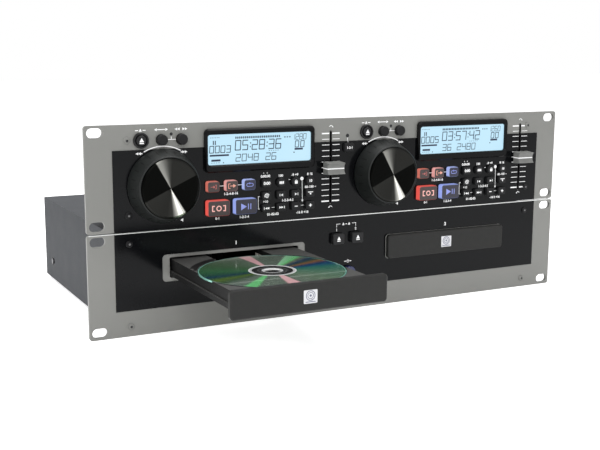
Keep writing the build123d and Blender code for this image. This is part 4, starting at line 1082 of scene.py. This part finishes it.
# ================================================================== displays
def rounded_outline(x, z, width, height, corner, steps=6):
    """The points of a rectangle with round corners, anticlockwise from its right lower corner."""
    points = []
    for quarter, (sx, sz) in enumerate(((1, -1), (1, 1), (-1, 1), (-1, -1))):
        middle_x, middle_z = x + sx * (width / 2 - corner), z + sz * (height / 2 - corner)
        for k in range(steps + 1):
            angle = math.radians(-90.0 + 90.0 * quarter + 90.0 * k / steps)
            points.append((middle_x + corner * math.cos(angle), middle_z + corner * math.sin(angle)))
    return points


def make_display(deck, centre, tree, track, clock, lower_line, rate):
    """The lit screen behind the bezel and what it shows, measured from the window's left lower corner."""
    left = centre + WINDOW_X - WINDOW_WIDTH / 2
    low = BASE + WINDOW_Z - WINDOW_HEIGHT / 2
    screen_y = OVERLAY_FRONT - 0.5
    marks_y = screen_y - PRINT

    def layer(name, y, material):
        return Print(f"{name}_{deck}", y, "root_frame", material, "lcd_glass", (left, low))

    middle_x, middle_z, gap = WINDOW_WIDTH / 2, WINDOW_HEIGHT / 2, 0.2
    screen = layer("display_screen", screen_y, screen_glow)
    screen.polygon(rounded_outline(middle_x, middle_z, WINDOW_WIDTH - gap, WINDOW_HEIGHT - gap, 2.1))
    screen.finish()

    shown = layer("display_segments", marks_y, segment_ink)
    shown.readout(track, 2.0, 10.4, 3.6, 5.7, 5.15, 0.66)
    shown.readout(clock, 25.6, 12.0, 4.8, 8.1, 6.75, 0.80)
    shown.readout(lower_line, 26.2, 2.4, 4.0, 5.9, 5.65, 0.60)
    shown.readout(rate, 80.0, 19.0, 2.6, 4.8, 3.7, 0.44)
    shown.readout("00", 83.0, 12.3, 3.4, 5.4, 5.3, 0.66)
    for x in (5.6, 7.4):
        shown.bar(x, 18.9, 0.9, 3.6)
    shown.bar(11.0, 8.1, 17.6, 1.5)
    shown.bar(7.8, 3.9, 8.4, 1.7)
    shown.bar(86.6, 10.7, 8.2, 1.7)
    shown.bar(82.0, 7.8, 1.2, 0.9)
    shown.bar(14.8, 1.7, 0.9, 0.9)
    shown.finish()

    faint = layer("display_small_marks", marks_y, faint_segment)
    for k in range(6):
        faint.bar(3.2 + 1.5 * k, 23.2, 0.9, 0.6)
    for k in range(5):
        faint.bar(58.0 + 2.1 * k, 10.4, 1.1, 0.6)
    for k in range(4):
        faint.bar(4.0 + 2.2 * k, 1.9, 1.3, 0.5)
    for x in (73.0, 75.4, 77.8):
        faint.bar(x, 21.6, 1.5, 1.2)
    faint.finish()
    grow(
        tree,
        f"display_level_{deck}",
        "root_frame",
        "lcd_glass",
        Count=24,
        Start=metres(left + 26.4, marks_y - PRINT / 2, low + 22.6),
        Step=metres(1.79, 0, 0),
        Size=metres(1.16, PRINT, 1.8),
        Material=segment_ink,
    )


# ================================================================== jog wheels, faders and trays
def make_jog_grips(deck, centre, tree):
    """Twenty-four finger marks along the shuttle ring's slope: near-black bars that paint the shade in its
    finger grooves.
    """
    base_radius, rim_radius, seat, rim = 31.0, 26.4, -2.4, -17.9
    slope = math.atan2(base_radius - rim_radius, seat - rim)
    share = 0.42
    grow(
        tree,
        f"jog_grip_marks_{deck}",
        f"jog_ring_{deck}",
        "jog_plastic",
        Count=24,
        Radius=(base_radius + (rim_radius - base_radius) * share) * MM,
        Slope=-slope,
        Size=metres(0.22, 0.62, 5.4),
        Centre=metres(centre + JOG_X, seat + (rim - seat) * share, BASE + JOG_Z),
        Material=painted_groove_black,
    )


def make_fader_line(deck, centre):
    """The white line across the saddle of a fader's cap and down both its flanks."""
    foot, saddle, half_line = -2.3, -10.35, 0.5
    origin = (centre + FADER_X, BASE + FADER_Z)
    mark = Print(f"fader_line_{deck}", saddle, f"fader_cap_{deck}", white_ink_painted_glow, "fader_plastic", origin)
    mark.bar(0.0, 0.0, 17.06, 2 * half_line)
    for side in (-1, 1):
        low, high = sorted((side * 8.49, side * 8.53))
        mark.slab((low, saddle - PRINT, -half_line), (high, foot, half_line))
    mark.finish()


def make_recess_shade(deck, x, y):
    """Painted shade along the left edge of a tray's disc recess: a dark flat inlay, drawn upright and then
    laid on the tray's top.
    """
    edge = Print(f"disc_recess_shade_{deck}", -TRAY_TOP, f"tray_{deck}", painted_groove_black, "tray_plastic", (x, y))
    edge.ring(0.0, 0.0, 62.2, 2.8, 115.5, 157.0, 24)
    edge.ring(0.0, 0.0, 65.4, 3.6, 113.0, 150.5, 24)
    edge.ring(0.0, 0.0, 61.9, 2.2, 201.5, 250.0, 20)
    piece = edge.finish()
    piece.data.transform(Matrix.Rotation(-math.pi / 2, 4, "X"))


def make_door_label(deck, x, front):
    """A white label on the tray's door with plain rings on it."""
    origin = (x - 1.2, 55.6)
    label = Print(f"door_label_{deck}", front, f"tray_{deck}", label_white, "tray_plastic", origin)
    label.polygon(rounded_outline(0.0, 0.0, 11.6, 10.4, 0.6, 3))
    label.finish()
    name = f"door_label_rings_{deck}"
    rings = Print(name, front - PRINT, f"tray_{deck}", label_grey, "tray_plastic", origin)
    for radius, width in ((3.7, 0.55), (2.4, 0.45)):
        rings.ring(0.0, 0.8, radius, width)
    rings.dot(0.0, 0.8, 0.9)
    rings.bar(0.0, -4.0, 8.6, 0.6)
    rings.finish()


# ================================================================== stage and light
def area_light(name, place, target, size, power):
    lamp = link(name, bpy.data.lights.new(name, "AREA"))
    lamp.data.size = size
    lamp.data.energy = power
    place, target = Vector(place), Vector(target)
    turn = (target - place).to_track_quat("-Z", "Y").to_matrix().to_4x4()
    lamp.matrix_world = Matrix.Translation(place) @ turn


def seen_directly(tree):
    """1 for rays from the camera, off gloss or through glass."""
    path = tree.nodes.new("ShaderNodeLightPath")
    total = path.outputs["Is Camera Ray"]
    for other in ("Is Glossy Ray", "Is Transmission Ray"):
        add = tree.nodes.new("ShaderNodeMath")
        add.operation = "ADD"
        add.use_clamp = True
        wire(tree, (total, add.inputs[0]), (path.outputs[other], add.inputs[1]))
        total = add.outputs[0]
    return total


def make_world():
    """A faint light from all round, and white where the backdrop itself is seen."""
    world = bpy.data.worlds.new("studio")
    world.use_nodes = True
    bpy.context.scene.world = world
    tree = world.node_tree
    tree.nodes.clear()
    fill = tree.nodes.new("ShaderNodeBackground")
    fill.inputs["Color"].default_value = (0.97, 0.98, 1.0, 1.0)
    fill.inputs["Strength"].default_value = 0.50
    backdrop = tree.nodes.new("ShaderNodeBackground")
    backdrop.inputs["Color"].default_value = rgba(1.0)
    mix = tree.nodes.new("ShaderNodeMixShader")
    out = tree.nodes.new("ShaderNodeOutputWorld")
    wire(
        tree,
        (seen_directly(tree), mix.inputs[0]),
        (fill.outputs[0], mix.inputs[1]),
        (backdrop.outputs[0], mix.inputs[2]),
        (mix.outputs[0], out.inputs[0]),
    )


def make_floor():
    """A pale floor that glows more where it is seen than where it lights the object."""
    finish = Finish("pale_floor", roughness=0.9, specular_ior_level=0.1, emission_strength=1.0)
    finish.set("Base Color", (0.82, 0.82, 0.82))
    seen = Signal(finish, seen_directly(finish.tree))
    finish.set("Emission Color", finish.blend(seen, (0.22, 0.22, 0.22), (0.78, 0.78, 0.78)))
    mesh = bmesh.new()
    bmesh.ops.create_grid(mesh, x_segments=8, y_segments=8, size=6.0)
    data = bpy.data.meshes.new("floor")
    mesh.to_mesh(data)
    mesh.free()
    data.materials.append(finish.material)
    floor = link("floor", data)
    floor.location.z = -0.0002


def make_stage():
    make_world()
    make_floor()
    aim = (0.0, 0.02, 0.09)
    area_light("key_softbox", (-0.9, -1.5, 1.5), aim, 1.3, 14.0)
    area_light("side_softbox", (-1.8, 0.1, 0.7), aim, 1.0, 6.0)
    area_light("top_softbox", (0.1, 0.2, 1.7), aim, 1.4, 24.0)


# ================================================================== build
place_camera()
dress_nodes()
bars, grips = bar_row_tree(), finger_ring_tree()
print_fader_scales(bars)
print_centre()
print_transport()
print_relay_key()
make_edge_highlight()
make_screw_recesses()
make_controller_cover()
shows = {"a": ("0003", "05:28:36", "2048 26", "1280"), "b": ("0005", "03:57:42", "36 2480", "1260")}
for deck, centre in DECKS:
    print_controller(deck, centre)
    print_keys(deck, centre)
    make_display(deck, centre, bars, *shows[deck])
    make_jog_grips(deck, centre, grips)
    make_fader_line(deck, centre)
    make_slot_black_sides(deck, centre)
    make_eject_sleeve(deck, centre)
for deck, x, out in TRAYS:
    make_door_label(deck, x, DOOR_FRONT - out)
    make_recess_shade(deck, x, DISC_HOME - out)
make_stage()

bpy.context.scene.view_settings.view_transform = "Standard"
